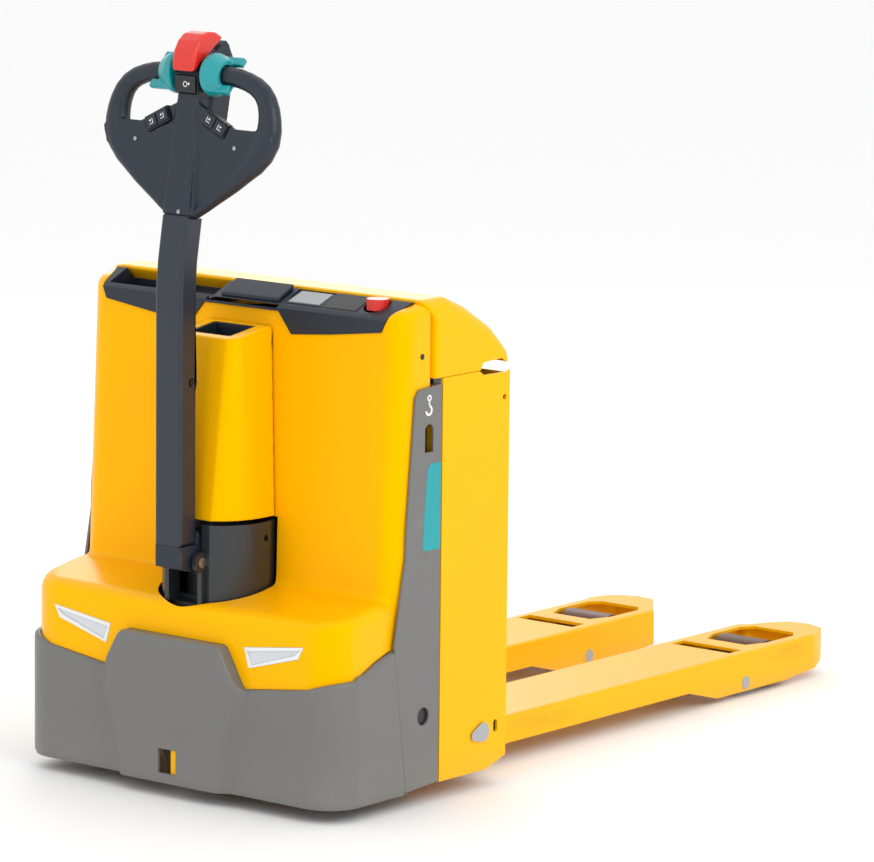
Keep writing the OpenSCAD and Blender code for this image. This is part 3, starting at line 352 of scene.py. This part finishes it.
def edges_where(piece, test):
    """In edit mode, selects the edges for which test(middle, direction, angle) holds; lengths are in millimetres."""
    bpy.ops.mesh.select_mode(type="EDGE")
    bpy.ops.mesh.select_all(action="DESELECT")
    mesh = bmesh.from_edit_mesh(piece.data)
    for edge in mesh.edges:
        a, b = edge.verts[0].co / MM, edge.verts[1].co / MM
        middle = (a + b) / 2
        middle.y -= HEEL
        way = (b - a)
        angle = math.degrees(edge.calc_face_angle_signed(0.0)) if len(edge.link_faces) == 2 else 0.0
        if way.length > 0 and test(middle, way.normalized(), angle):
            edge.select_set(True)
    mesh.select_flush_mode()
    bmesh.update_edit_mesh(piece.data)


def bevel_edges(piece, test, width, segments=4):
    edges_where(piece, test)
    bpy.ops.mesh.bevel(offset=width * MM, segments=segments, profile=0.5, affect="EDGES", clamp_overlap=False)


def everything():
    bpy.ops.mesh.select_all(action="SELECT")


def turn_outward():
    """In edit mode, makes every face look out of the solid."""
    everything()
    bpy.ops.mesh.normals_make_consistent(inside=False)


def in_edit(piece, *steps):
    pick(piece)
    bpy.ops.object.mode_set(mode="EDIT")
    for step in steps:
        step()
    bpy.ops.object.mode_set(mode="OBJECT")


def use(piece, kind, **values):
    """Adds a modifier with its settings and applies it."""
    pick(piece)
    modifier = piece.modifiers.new(kind.lower(), kind)
    for key, value in values.items():
        setattr(modifier, key, value)
    bpy.ops.object.modifier_apply(modifier=modifier.name)


def even_out(piece, angle=SHARP):
    """Smooth shading up to an angle, led by the larger faces."""
    pick(piece)
    bpy.ops.object.shade_smooth_by_angle(angle=math.radians(angle))
    use(piece, "WEIGHTED_NORMAL", keep_sharp=True)


def joined(parts, name):
    """Makes one object of several, with the first one's settings."""
    clear_selection()
    for part in parts:
        part.select_set(True)
    piece = bpy.context.view_layer.objects.active = parts[0]
    if len(parts) > 1:
        bpy.ops.object.join()
    piece.name = piece.data.name = name
    return piece


def settle(piece, body):
    """Puts the object at the origin with its place in its mesh, and fixes it to a body."""
    pick(piece)
    bpy.ops.object.transform_apply(location=True, rotation=True, scale=True)
    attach(piece, body)
    return piece


def cad_copy(node):
    """A free copy of a CAD node, without the marks that tie it to the frame."""
    twin = NODES[node].copy()
    twin.data = NODES[node].data.copy()
    twin.parent = None
    for key in [k for k in twin.keys() if k.startswith("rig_")]:
        del twin[key]
    bpy.context.scene.collection.objects.link(twin)
    return twin


def merge_corners():
    everything()
    bpy.ops.mesh.remove_doubles(threshold=MERGE)


def from_cad(node, name, rounds=(), soft=1.0, segments=2):
    """A copy of a CAD node with merged faces, rounded edges and its finish, which stands for the node.

    rounds lists (test, width, segments) for chosen edges; soft is the small round on every other sharp edge.
    """
    piece = joined([cad_copy(node)], name)
    in_edit(piece, merge_corners,
            lambda: bpy.ops.mesh.dissolve_limited(angle_limit=math.radians(FLAT)),
            lambda: [bevel_edges(piece, *each) for each in rounds])
    use(piece, "BEVEL", width=soft * MM, segments=segments, limit_method="ANGLE",
        angle_limit=math.radians(28), use_clamp_overlap=True)
    even_out(piece)
    paint(piece, FINISH[node])
    settle(piece, BODY_OF[node])
    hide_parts(node)
    return piece


# ---------------------------------------------------------------- camera and studio

CAMERA_PLACE = (5.8079, -7.3592, 2.0913)
CAMERA_ANGLES = (38.60, 9.41, 0.62)  # degrees to the right of the front, above level, and of roll
CAMERA_LENS = 215.57

# Name, place, aim and size in metres, and power in watts
LIGHTS = [("key", (4.2, -1.6, 3.2), (0, -0.2, 0.5), (2.4, 2.4), 62),
          ("front", (-0.8, -4.6, 2.4), (0, -0.4, 0.6), (2.6, 2.0), 8),
          ("top", (0.3, 0.6, 4.2), (0, 0.1, 0.2), (3.2, 3.2), 10),
          ("rear", (-3.4, 3.2, 2.6), (0, 0.2, 0.5), (2.0, 2.0), 30)]


def place_camera():
    az, el, roll = (math.radians(angle) for angle in CAMERA_ANGLES)
    look = Vector((-math.sin(az) * math.cos(el), math.cos(az) * math.cos(el), -math.sin(el)))
    right = Vector((math.cos(az), math.sin(az), 0))
    up = right.cross(look)
    right, up = (right * math.cos(roll) + up * math.sin(roll),
                 up * math.cos(roll) - right * math.sin(roll))
    camera = bpy.data.objects.new("camera", bpy.data.cameras.new("camera"))
    bpy.context.scene.collection.objects.link(camera)
    turn = Matrix((right, up, -look)).transposed().to_4x4()
    camera.matrix_world = Matrix.Translation(Vector(CAMERA_PLACE)) @ turn
    camera.data.sensor_width = 36.0
    camera.data.lens = CAMERA_LENS
    camera.data.clip_end = 60.0
    bpy.context.scene.camera = camera


def area_light(name, place, aim, size, power):
    light = bpy.data.objects.new(name, bpy.data.lights.new(name, "AREA"))
    light.data.shape = "RECTANGLE"
    light.data.size, light.data.size_y = size
    light.data.energy = power
    light.location = place
    light.rotation_euler = (Vector(aim) - Vector(place)).to_track_quat("-Z", "Y").to_euler()
    bpy.context.scene.collection.objects.link(light)


def studio():
    """A white floor that runs out to the horizon, an even white sky and four soft lights."""
    clear_selection()
    bpy.ops.mesh.primitive_plane_add(size=90, location=(0, 0, 0))
    floor = bpy.context.object
    floor.name = "floor"
    back = bpy.data.materials.new("studio floor")
    back.use_nodes = True
    shader = back.node_tree.nodes["Principled BSDF"]
    shader.inputs["Base Color"].default_value = (0.96, 0.96, 0.96, 1)
    shader.inputs["Roughness"].default_value = 0.7
    floor.data.materials.append(back)
    world = bpy.data.worlds.new("studio")
    bpy.context.scene.world = world
    world.use_nodes = True
    world.node_tree.nodes["Background"].inputs["Color"].default_value = (1, 1, 1, 1)
    world.node_tree.nodes["Background"].inputs["Strength"].default_value = 1.0
    for light in LIGHTS:
        area_light(*light)


place_camera()
studio()
bpy.context.scene.view_settings.view_transform = "Standard"
bpy.context.scene.view_settings.look = "None"


# ---------------------------------------------------------------- more modelling helpers

def mould(nodes, name, voxel, passes, keep, extra=(), also=()):
    """A soft moulded piece: the nodes' solids become one skin, whose edges are then rubbed round.

    extra lists new pieces that the skin takes in, and also names the nodes that those stand for.
    """
    piece = joined([cad_copy(node) for node in nodes], name)
    in_edit(piece, merge_corners)
    piece = joined([piece, *extra], name)
    use(piece, "REMESH", mode="VOXEL", voxel_size=voxel * MM)
    use(piece, "SMOOTH", factor=0.5, iterations=passes)
    use(piece, "DECIMATE", ratio=keep)
    pick(piece)
    bpy.ops.object.shade_smooth()
    paint(piece, FINISH[nodes[0]])
    settle(piece, BODY_OF[nodes[0]])
    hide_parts(*nodes, *also)
    return piece


def slab(name, x, y, z):
    """A block between two corners."""
    clear_selection()
    middle = at((x[0] + x[1]) / 2, (y[0] + y[1]) / 2, (z[0] + z[1]) / 2)
    bpy.ops.mesh.primitive_cube_add(size=1, location=middle,
                                    scale=((x[1] - x[0]) * MM, (y[1] - y[0]) * MM, (z[1] - z[0]) * MM))
    piece = bpy.context.object
    piece.name = piece.data.name = name
    bpy.ops.object.transform_apply(location=True, rotation=True, scale=True)
    return piece


def drawn(name, points, axis, span):
    """An outline drawn out along one axis: [y, z] along X, [x, z] along Y or [x, y] along Z."""
    clear_selection()
    bpy.ops.mesh.primitive_circle_add(vertices=len(points), radius=1, fill_type="NGON", location=(0, 0, 0))
    piece = bpy.context.object
    piece.name = piece.data.name = name
    places = {"X": lambda p: at(span[0], p[0], p[1]), "Y": lambda p: at(p[0], span[0], p[1]),
              "Z": lambda p: at(p[0], p[1], span[0])}[axis]
    for vertex, point in zip(piece.data.vertices, points):
        vertex.co = places(point)
    step = Vector([float(axis == each) for each in "XYZ"]) * ((span[1] - span[0]) * MM)
    in_edit(piece, everything,
            lambda: bpy.ops.mesh.extrude_region_move(TRANSFORM_OT_translate={"value": step}),
            turn_outward)
    return piece


def cut(piece, cutter):
    """Takes the cutter's space away from the piece, and the cutter with it."""
    use(piece, "BOOLEAN", operation="DIFFERENCE", object=cutter, solver="EXACT")
    bpy.data.objects.remove(cutter)


def slice_off(place, normal, close=False):
    """In edit mode, takes away all that lies beyond a plane, and closes the hole where asked."""
    everything()
    bpy.ops.mesh.bisect(plane_co=at(*place), plane_no=normal, clear_outer=True, use_fill=close)


def circle(x, y, r, n):
    return [(x + r * math.cos(2 * math.pi * i / n), y + r * math.sin(2 * math.pi * i / n)) for i in range(n)]


# ---------------------------------------------------------------- bumper

# Top of the bumper and foot of the hood: across, height
SEAM = [(0, 280), (108, 280), (114, 277), (120, 268), (150, 215), (156, 210), (272, 225), (360, 240)]


def along(points, x):
    """Height of a line of points at x."""
    for (x0, z0), (x1, z1) in zip(points, points[1:]):
        if x <= x1:
            return z0 + (z1 - z0) * max(0.0, x - x0) / (x1 - x0)
    return points[-1][1]


def ease(t):
    """A soft step from 0 to 1."""
    t = min(1.0, max(0.0, t))
    return t * t * (3 - 2 * t)


def bumper_skirt():
    """One curved shell round the front, its middle standing forward, with a rolled top edge."""
    half, radius, front, rear = SIDE, 66.0, -464.0, -308.0
    rows, lip, lip_rows, foot = 30, 7.0, 6, 25.0
    # Plan of the left half, from the side round the corner to the middle: x, y and the way out
    stations = [(-half, rear + (front + radius - rear) * i / 12, -1.0, 0.0) for i in range(12)]
    for a in range(15):
        out_x, out_y = math.cos(math.radians(a * 6)), math.sin(math.radians(a * 6))
        stations.append((-half + radius - radius * out_x, front + radius - radius * out_y, -out_x, -out_y))
    stations += [(-half + radius + (half - radius) * i / 84, front, 0.0, -1.0) for i in range(85)]
    stations += [(-x, y, -nx, ny) for x, y, nx, ny in reversed(stations[:-1])]
    clear_selection()
    bpy.ops.mesh.primitive_grid_add(x_subdivisions=len(stations) - 1, y_subdivisions=rows + lip_rows, size=1)
    piece = bpy.context.object
    piece.name = piece.data.name = "bumper_skirt"
    ordered = sorted(piece.data.vertices, key=lambda v: (round(v.co.y, 4), round(v.co.x, 4)))
    for index, vertex in enumerate(ordered):
        row, column = divmod(index, len(stations))
        x, y, nx, ny = stations[column]
        top = along(SEAM, abs(x))
        if ny == 0:
            top = along([(0, 279), (42, 266), (75, 251), (110, 246)], rear - y)
        elif abs(nx) > 0:
            share = math.degrees(math.atan2(abs(nx), abs(ny))) / 90
            top = top * (1 - share) + 244 * share
        if row <= rows:
            z = foot + (top - lip - foot) * row / rows
            inward = 3.0 * (1 - ease((z - foot) / 4))
        else:
            a = math.radians(90 * min(1.0, (row - rows) / (lip_rows - 1)))
            z, inward = top - lip + lip * math.sin(a), lip * (1 - math.cos(a))
        reach = 118 + 34 * ease((z - foot) / 185)
        proud = 16.0 * ease((reach + 12 - abs(x)) / 26) if abs(nx) < 0.5 else 0.0
        if column in (0, len(stations) - 1):
            y = rear + 33 * (1 - (z - foot) / 256)
        if row == rows + lip_rows:
            inward += proud + 3.0
        vertex.co = at(x - nx * inward, y - ny * inward - proud, z)
    use(piece, "SOLIDIFY", thickness=0.005, offset=-1.0, use_even_offset=True)
    in_edit(piece, turn_outward)
    cut(piece, drawn("tow_cut", [(-20, 43), (20, 43), (20, 86), (-20, 86)], "Y", (-500, -440)))
    even_out(piece, 35)
    paint(piece, "grey_paint")
    settle(piece, BODY_OF["bumper"])
    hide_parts("bumper")


bumper_skirt()


# ---------------------------------------------------------------- front hood

def hood_shell():
    """Shelf and upright wall in one thin moulding, with soft corners and a hollow where they meet."""
    shelf = slab("shelf", (-350, 350), (-455, -190), (140, 361))
    in_edit(shelf,
            lambda: bevel_edges(shelf, lambda m, d, a: abs(d.z) > 0.9 and m.y < -400, 62, 10),
            lambda: slice_off((0, -455, 338), (0, -0.187, 1), close=True),
            lambda: bevel_edges(shelf, lambda m, d, a: m.z > 335 and a > 30 and m.y < -195, 20, 6))
    wall = slab("wall", (-354, 354), (-320, -205.5), (140, 866))
    in_edit(wall,
            lambda: edges_where(wall, lambda m, d, a: m.z > 860 and m.y < -310),
            lambda: bpy.ops.transform.translate(value=(0, 0.032, -0.018)),
            lambda: bevel_edges(wall, lambda m, d, a: abs(d.z) > 0.9 and m.y < -250, 36, 8),
            lambda: bevel_edges(wall, lambda m, d, a: m.z > 840 and a > 30 and m.y < -210, 11, 4))
    piece = joined([wall, shelf], "hood_shell")
    use(piece, "REMESH", mode="VOXEL", voxel_size=0.006)
    use(piece, "SMOOTH", factor=0.5, iterations=7)
    in_edit(piece, lambda: slice_off((0, -206, 0), (0, 1, 0)))
    in_edit(piece, lambda: slice_off((0, 0, 170), (0, 0, -1)))
    use(piece, "SOLIDIFY", thickness=0.004, offset=-1.0)
    # The front's foot follows the bumper's seam, then the foot at the sides, the well for the turret, the
    # column's slot, the top's dip for the console, the headlights and the lifting slots
    gap = 0.5
    seam = [(380, 240 + gap), (272, 225 + gap), (156 + gap, 210 + gap), (150 + gap, 215 + gap),
            (120 + gap, 268 + gap), (114 + gap, 277 + gap), (108, 280 + gap)]
    foot = [(-380, 100), (380, 100)] + seam + [(-x, z) for x, z in reversed(seam)]
    cut(piece, drawn("cut", foot, "Y", (-520, -383)))
    cut(piece, drawn("cut", [(-384, 100), (-275, 100), (-307.5, 281.5), (-351, 266.5), (-384, 251.5)],
                     "X", (-380, 380)))
    cut(piece, drawn("cut", circle(0, -345, 105, 72), "Z", (300, 479)))
    cut(piece, drawn("cut", [(-72, 478), (72, 478), (72, 790), (-72, 790)], "Y", (-340, -270)))
    dip = [(-354, 880), (-338.5, 872), (-322.5, 843), (-310.5, 816.5), (-200, 802.5), (-114, 794.5),
           (-84, 831.5)]
    cut(piece, drawn("cut", dip + [(-x, z) for x, z in reversed(dip)], "Y", (-345, -187)))
    headlight = [(151.5, 282.5), (161.5, 246.5), (271.5, 276.5), (283.5, 299.5)]
    for s in (1, -1):
        cut(piece, drawn("cut", [(s * x, z) for x, z in headlight], "Y", (-480, -430)))
    for s in (1, -1):
        cut(piece, drawn("cut", [(-237, 600), (-203, 600), (-203, 668), (-237, 668)],
                         "X", (s * 340, s * 362)))
    even_out(piece, 30)
    paint(piece, "yellow_cover")
    settle(piece, BODY_OF["front_hood"])
    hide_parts("front_hood")


hood_shell()


# ---------------------------------------------------------------- soft mouldings

# Middle line of the handle's bow on the right: across, height, half width, half depth
BOW = [(24, 1006, 9, 15), (40, 1016, 9.5, 16), (60, 1031, 11, 17), (80, 1045, 12, 18), (100, 1059, 13, 19),
       (122, 1077, 14.5, 20), (142, 1095, 18.5, 20.5), (157, 1114, 22, 20.5), (166.5, 1135, 24, 20),
       (169.5, 1155, 22.8, 19), (168.5, 1172, 21, 18), (165, 1188, 19.5, 17.5), (158, 1204, 18, 17),
       (147, 1217, 17.2, 16.8), (132, 1226.5, 16.8, 16.6), (114, 1233, 16.5, 16.5), (94, 1237.5, 16.5, 16.5),
       (62, 1240, 16.5, 16.5)]
RING = 28  # corners of each oval of the bow


def bow(sign):
    """One side of the handle: oval rings set along its middle line and bridged."""
    clear_selection()
    rings = []
    for n, (x, z, wide, deep) in enumerate(BOW):
        bpy.ops.mesh.primitive_circle_add(vertices=RING, radius=1, fill_type="NOTHING")
        ring = bpy.context.object
        a, b = BOW[max(0, n - 1)], BOW[min(len(BOW) - 1, n + 1)]
        way = Vector((b[0] - a[0], 0, b[1] - a[1])).normalized()
        side = Vector((way.z, 0, -way.x))
        back = -405 - (1240 - z) * 0.145
        for k, vertex in enumerate(ring.data.vertices):
            t = 2 * math.pi * k / RING
            place = (Vector((x, back, z)) + side * (wide * math.cos(t))
                     + Vector((0, 1, 0)) * (deep * math.sin(t)))
            vertex.co = at(sign * place.x, place.y, place.z)
        rings.append(ring)
    piece = joined(rings, "bow_side")
    in_edit(piece, everything, bpy.ops.mesh.bridge_edge_loops,
            everything, lambda: bpy.ops.mesh.fill_holes(sides=0), turn_outward)
    return piece


mould(["head_front", "head_back"], "head_moulding", 2.0, 9, keep=0.7, extra=[bow(1), bow(-1)],
      also=["grip_left", "grip_right"])


def belly_switch():
    """The red cap: a domed block, creased down both sides, hollow towards the rocker's bar."""
    profile = [(-444, 1246), (-444.5, 1262), (-440, 1281), (-430, 1297), (-416, 1307.5), (-400, 1311.5),
               (-386, 1310), (-374, 1304), (-370, 1297), (-384, 1286.5), (-434, 1249.5)]
    piece = drawn("belly_switch", profile, "X", (-25, 25))
    in_edit(piece, lambda: bevel_edges(piece, lambda m, d, a: abs(abs(m.x) - 25) < 0.1 and m.y < -372, 5.5, 4))
    use(piece, "REMESH", mode="VOXEL", voxel_size=0.0012)
    use(piece, "SMOOTH", factor=0.5, iterations=14)
    cut(piece, drawn("room", circle(-405, 1240, 30.8, 64), "X", (-30, 30)))
    even_out(piece, 40)
    paint(piece, "red_plastic")
    settle(piece, BODY_OF["belly_button"])
    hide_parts("belly_button")


belly_switch()
mould(["travel_rocker"], "travel_switch", 1.3, 9, keep=0.8)
mould(["column_cover"], "column_shell", 2.0, 14, keep=0.8)


# ---------------------------------------------------------------- pieces rounded from the CAD

def fork_top_edges(m, d, a):
    on_a_side = abs(abs(m.x) - 98) < 0.6 or abs(abs(m.x) - 270) < 0.6
    return a > 40 and abs(d.y) > 0.95 and m.z > 80 and m.y < 1064 and on_a_side


def tube_edges(m, d, a):
    return a > 60 and abs(d.x) < 0.2 and abs(abs(m.x) - 29.5) < 0.5


def foot_edges(m, d, a):
    return a > 60 and abs(d.z) > 0.9 and abs(abs(m.x) - 29.5) < 0.5 and m.y < -430


for side in ("left", "right"):
    from_cad(f"side_plate_{side}", f"side_plate_{side}_painted", soft=0.8)
    from_cad(f"fork_{side}", f"fork_{side}_painted", rounds=[(fork_top_edges, 7.0, 4)], soft=0.9)
    from_cad(f"castor_fork_{side}", f"castor_{side}_bracket", soft=0.8)
    from_cad(f"castor_wheel_{side}", f"castor_{side}_tyre", soft=2.0, segments=3)
    from_cad(f"load_roller_{side}", f"load_{side}_roller", soft=1.5, segments=3)
    from_cad(f"load_lever_{side}", f"load_{side}_lever", soft=0.8)
from_cad("load_frame", "load_housing", soft=1.0)


def battery_lid():
    """The hinged lid: one thin moulding with wide rounds down its sides and finger recesses at the rear."""
    half = 359
    profile = [(-204.8, 700), (-204.8, 836), (-232.8, 868.5), (-163, 868.8), (-110, 847), (-40, 806),
               (-10, 775), (0, 745), (0, 700)]
    piece = drawn("battery_lid", profile, "X", (-half, half))

    def side_rims(m, d, a):
        return abs(abs(m.x) - half) < 0.1 and m.z > 780 and m.y > -200 and abs(d.x) < 0.1

    def rear_bends(m, d, a):
        return abs(d.x) > 0.99 and m.z > 770 and m.y > -140 and a > 8

    in_edit(piece, lambda: bevel_edges(piece, side_rims, 24, 7), lambda: bevel_edges(piece, rear_bends, 8, 3))
    use(piece, "REMESH", mode="VOXEL", voxel_size=0.005)
    use(piece, "SMOOTH", factor=0.5, iterations=3)
    in_edit(piece, lambda: slice_off((0, 0, 734), (0, 0, -1)))
    use(piece, "SOLIDIFY", thickness=0.0038, offset=-1.0)
    for s in (1, -1):
        cut(piece, drawn("cut", [(-82, 733), (-72, 747), (-20, 749), (-10, 741), (1, 741), (1, 733)],
                         "X", (s * 340, s * 362)))
    cut(piece, slab("cut", (-362, 362), (-30, 3), (733, 741)))
    even_out(piece, 35)
    paint(piece, "yellow_cover")
    settle(piece, BODY_OF["battery_hood"])
    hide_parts("battery_hood")


battery_lid()
from_cad("console", "console_tray", soft=1.2)
from_cad("pocket_liner", "column_pocket", soft=1.0)
from_cad("storage_lid", "storage_flap", soft=2.0, segments=3)
from_cad("display", "display_case", soft=1.0)
from_cad("turret", "turret_pot", soft=1.2)
from_cad("tiller_arm", "tiller_tube", rounds=[(tube_edges, 6.0, 5)], soft=0.8)
from_cad("tiller_cover", "tiller_foot", rounds=[(foot_edges, 5.0, 4)], soft=0.8)


def emergency_knob():
    """A ribbed mushroom knob."""
    clear_selection()
    low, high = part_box("estop_knob")
    middle = [(a + b) / 2 for a, b in zip(low, high)]
    radius, top = (high[0] - low[0]) / 2, high[2]
    bpy.ops.mesh.primitive_cylinder_add(vertices=72, radius=radius, depth=0.019, end_fill_type="NGON",
                                        location=(middle[0], middle[1], top - 0.0095))
    piece = bpy.context.object
    piece.name = piece.data.name = "emergency_knob"

    def ribs():
        bpy.ops.mesh.select_mode(type="FACE")
        bpy.ops.mesh.select_all(action="DESELECT")
        mesh = bmesh.from_edit_mesh(piece.data)
        walls = [f for f in mesh.faces if abs(f.normal.z) < 0.5]
        walls.sort(key=lambda f: math.atan2(f.normal.y, f.normal.x))
        for n, face in enumerate(walls):
            face.select_set(n % 4 == 0)
        bmesh.update_edit_mesh(piece.data)
        bpy.ops.mesh.inset(thickness=0.0003, depth=-0.0008, use_individual=True)

    in_edit(piece, ribs)
    use(piece, "BEVEL", width=0.0026, segments=4, limit_method="ANGLE", angle_limit=math.radians(70))
    clear_selection()
    bpy.ops.mesh.primitive_cylinder_add(vertices=48, radius=0.0085, depth=top - 0.016 - low[2],
                                        location=(middle[0], middle[1], (top - 0.016 + low[2]) / 2))
    stem = bpy.context.object
    use(stem, "BEVEL", width=0.0008, segments=2, limit_method="ANGLE")
    joined([piece, stem], "emergency_knob")
    even_out(piece, 40)
    paint(piece, "red_plastic")
    settle(piece, BODY_OF["estop_knob"])
    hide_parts("estop_knob")


emergency_knob()


# ---------------------------------------------------------------- small pieces

def trim(piece, finish, body, round_off=0.15):
    """Finishes a small piece: a fine round on its edges, its finish and its body."""
    if round_off:
        use(piece, "BEVEL", width=round_off * MM, segments=2, limit_method="ANGLE", angle_limit=math.radians(40))
    even_out(piece, 40)
    paint(piece, finish)
    settle(piece, body)
    return piece


def band(cx, cy, inner, outer, start, end, n=20):
    """An arc with width, as an outline."""
    turns = [math.radians(start + (end - start) * i / n) for i in range(n + 1)]
    return ([(cx + outer * math.cos(t), cy + outer * math.sin(t)) for t in turns] +
            [(cx + inner * math.cos(t), cy + inner * math.sin(t)) for t in reversed(turns)])


def flat_mark(name, outlines, axis, span, finish, body, move=None):
    """Thin printed shapes joined into one piece."""
    piece = joined([drawn(name, outline, axis, span) for outline in outlines], name)
    if move:
        piece.data.transform(move)
    return trim(piece, finish, body, 0)


# A lifting hook: its eye, shank and bow
HOOK = [band(-221, 703, 2.6, 5.6, 0, 359, 28),
        [(-222.8, 690), (-219.2, 690), (-219.2, 698), (-222.8, 698)],
        band(-222, 682, 5.2, 9.6, -175, 75, 26)]
LABEL = [(-188.5, 441), (-188.5, 590), (-213, 590), (-220, 587), (-225, 578), (-236, 450), (-233, 443),
         (-228, 441)]
# Dark cups behind the holes in the sides, painted shade that stands for the dark inside seen through each hole:
# name, y, z, radius, inner face and body
HOLE_SHADE_CUPS = [("tie_down_shade_cup", -229, 155, 18, 353, "drive_unit"),
        ("panel_hole_shade_cup", -14, 681, 7, 353, "load_section"),
        ("latch_hole_shade_cup", -29, 106, 14, 353, "load_section")]

for s, side in ((1, "right"), (-1, "left")):
    print_span = (s * SIDE, s * (SIDE + 0.35))
    flat_mark(f"hook_mark_{side}", HOOK, "X", print_span, "white_print", "drive_unit")
    flat_mark(f"side_label_{side}", [LABEL], "X", print_span, "teal_print", "drive_unit")
    for name, y, z, r, x, body in HOLE_SHADE_CUPS:
        # A black disc behind the hole: painted shade for the inside
        hole_shade = drawn(f"{name}_{side}", circle(y, z, r, 40), "X", (s * x, s * (x + 1.8)))
        trim(hole_shade, "black_plastic", body, 0.3)
    # A thin black plate behind each lifting slot: painted shade, standing for the dark inside seen through the slot
    slot_shade = drawn(f"slot_shade_plate_{side}", [(-236, 601), (-204, 601), (-204, 667), (-236, 667)],
                    "X", (s * 340, s * 341.5))
    trim(slot_shade, "black_plastic", "drive_unit", 0.3)
    screw = drawn(f"cover_screw_{side}", circle(-234, 774, 5.2, 36), "X", (s * 352, s * 354.9))
    in_edit(screw, lambda: edges_where(screw, lambda m, d, a: abs(m.x) > 354.5),
            lambda: bpy.ops.mesh.select_mode(type="FACE"),
            lambda: bpy.ops.mesh.inset(thickness=0.0018, depth=0))
    trim(screw, "black_plastic", "drive_unit", 0.3)

for s, side in ((1, "right"), (-1, "left")):
    for x, name in ((-13.5, "lift"), (13.5, "lower")):
        place = (Matrix.Translation(at(64.5, -433.5, 1161)) @ Matrix.Rotation(math.radians(26), 4, "Y")
                 @ Matrix.Rotation(math.radians(-7), 4, "X") @ Matrix.Translation((x * MM, 0, 0)))
        # Two strokes for a fork seen from the side, and an arrow head that points up or down
        tail, tip = (0.5, 4.5) if name == "lift" else (3.5, -0.5)
        shapes = [[(-4.5, -4.5), (-3.3, -4.5), (-3.3, 4.5), (-4.5, 4.5)],
                  [(-3.3, -4.5), (4, -4.5), (4, -3.3), (-3.3, -3.3)],
                  [(-1.5, tail), (3.5, tail), (1, tip)]]
        mirror = Matrix.Diagonal((s, 1, 1, 1))
        piece = flat_mark(f"{name}_mark_{side}", shapes, "Y", (-4.25 - HEEL, -3.9 - HEEL), "white_print",
                          f"key_{name}_{side}", mirror @ place)
        in_edit(piece, turn_outward)

flat_mark("crawl_mark", [band(0, 1224, 3.4, 4.8, 0, 359, 24), band(7.5, 1225, 0.2, 2.2, 0, 359, 12)],
          "Y", (-437.25, -436.9), "white_print", "crawl_button")
trim(drawn("display_pane", [(-276, 847.0), (-239, 860.7), (-239, 862.3), (-276, 848.6)], "X", (94, 162)),
     "display_glass", "drive_unit")
trim(drawn("blank_pane", [(-279, 843.0), (-237, 862.0), (-237, 865.4), (-279, 846.4)], "X", (174, 245)),
     "black_plastic", "drive_unit", 0.5)


def screw_head(name, place, turn, radius, finish, body):
    """A button head with a round socket, facing up before it is turned."""
    clear_selection()
    bpy.ops.mesh.primitive_cylinder_add(vertices=36, radius=radius * MM, depth=1.6 * MM, location=(0, 0, 0))
    piece = bpy.context.object
    piece.name = piece.data.name = name

    def socket():
        bpy.ops.mesh.select_mode(type="FACE")
        bpy.ops.mesh.select_all(action="DESELECT")
        mesh = bmesh.from_edit_mesh(piece.data)
        for face in mesh.faces:
            face.select_set(face.normal.z > 0.9)
        bmesh.update_edit_mesh(piece.data)
        bpy.ops.mesh.inset(thickness=radius * 0.5 * MM, depth=0)
        bpy.ops.mesh.inset(thickness=0.0001, depth=-radius * 0.25 * MM)

    in_edit(piece, socket)
    piece.data.transform(Matrix.Translation(at(*place)) @ turn)
    trim(piece, finish, body, 0.25)
    return piece


# Name, place, turn in degrees and its axis, radius, finish
FASTENERS = [("tiller_screw_right", (111, -438.9, 1124), 83, "X", 3.6, "zinc"),
             ("tiller_screw_left", (-111, -438.9, 1124), 83, "X", 3.6, "zinc"),
             ("tiller_screw_low", (8, -462.6, 1011), 81, "X", 3.6, "zinc"),
             ("tiller_side_screw", (29.2, -450, 720), 90, "Y", 5.0, "black_plastic")]

fasteners = [screw_head(name, place, Matrix.Rotation(math.radians(angle), 4, axis), radius, finish, "tiller")
             for name, place, angle, axis, radius, finish in FASTENERS]
for fastener in fasteners:
    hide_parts("tiller_screws")
trim(slab("neck_seal", (-26, 26), (-460, -430), (992, 1010)), "black_plastic", "tiller", 0.5)
from_cad("estop_collar", "emergency_collar", soft=0.6)
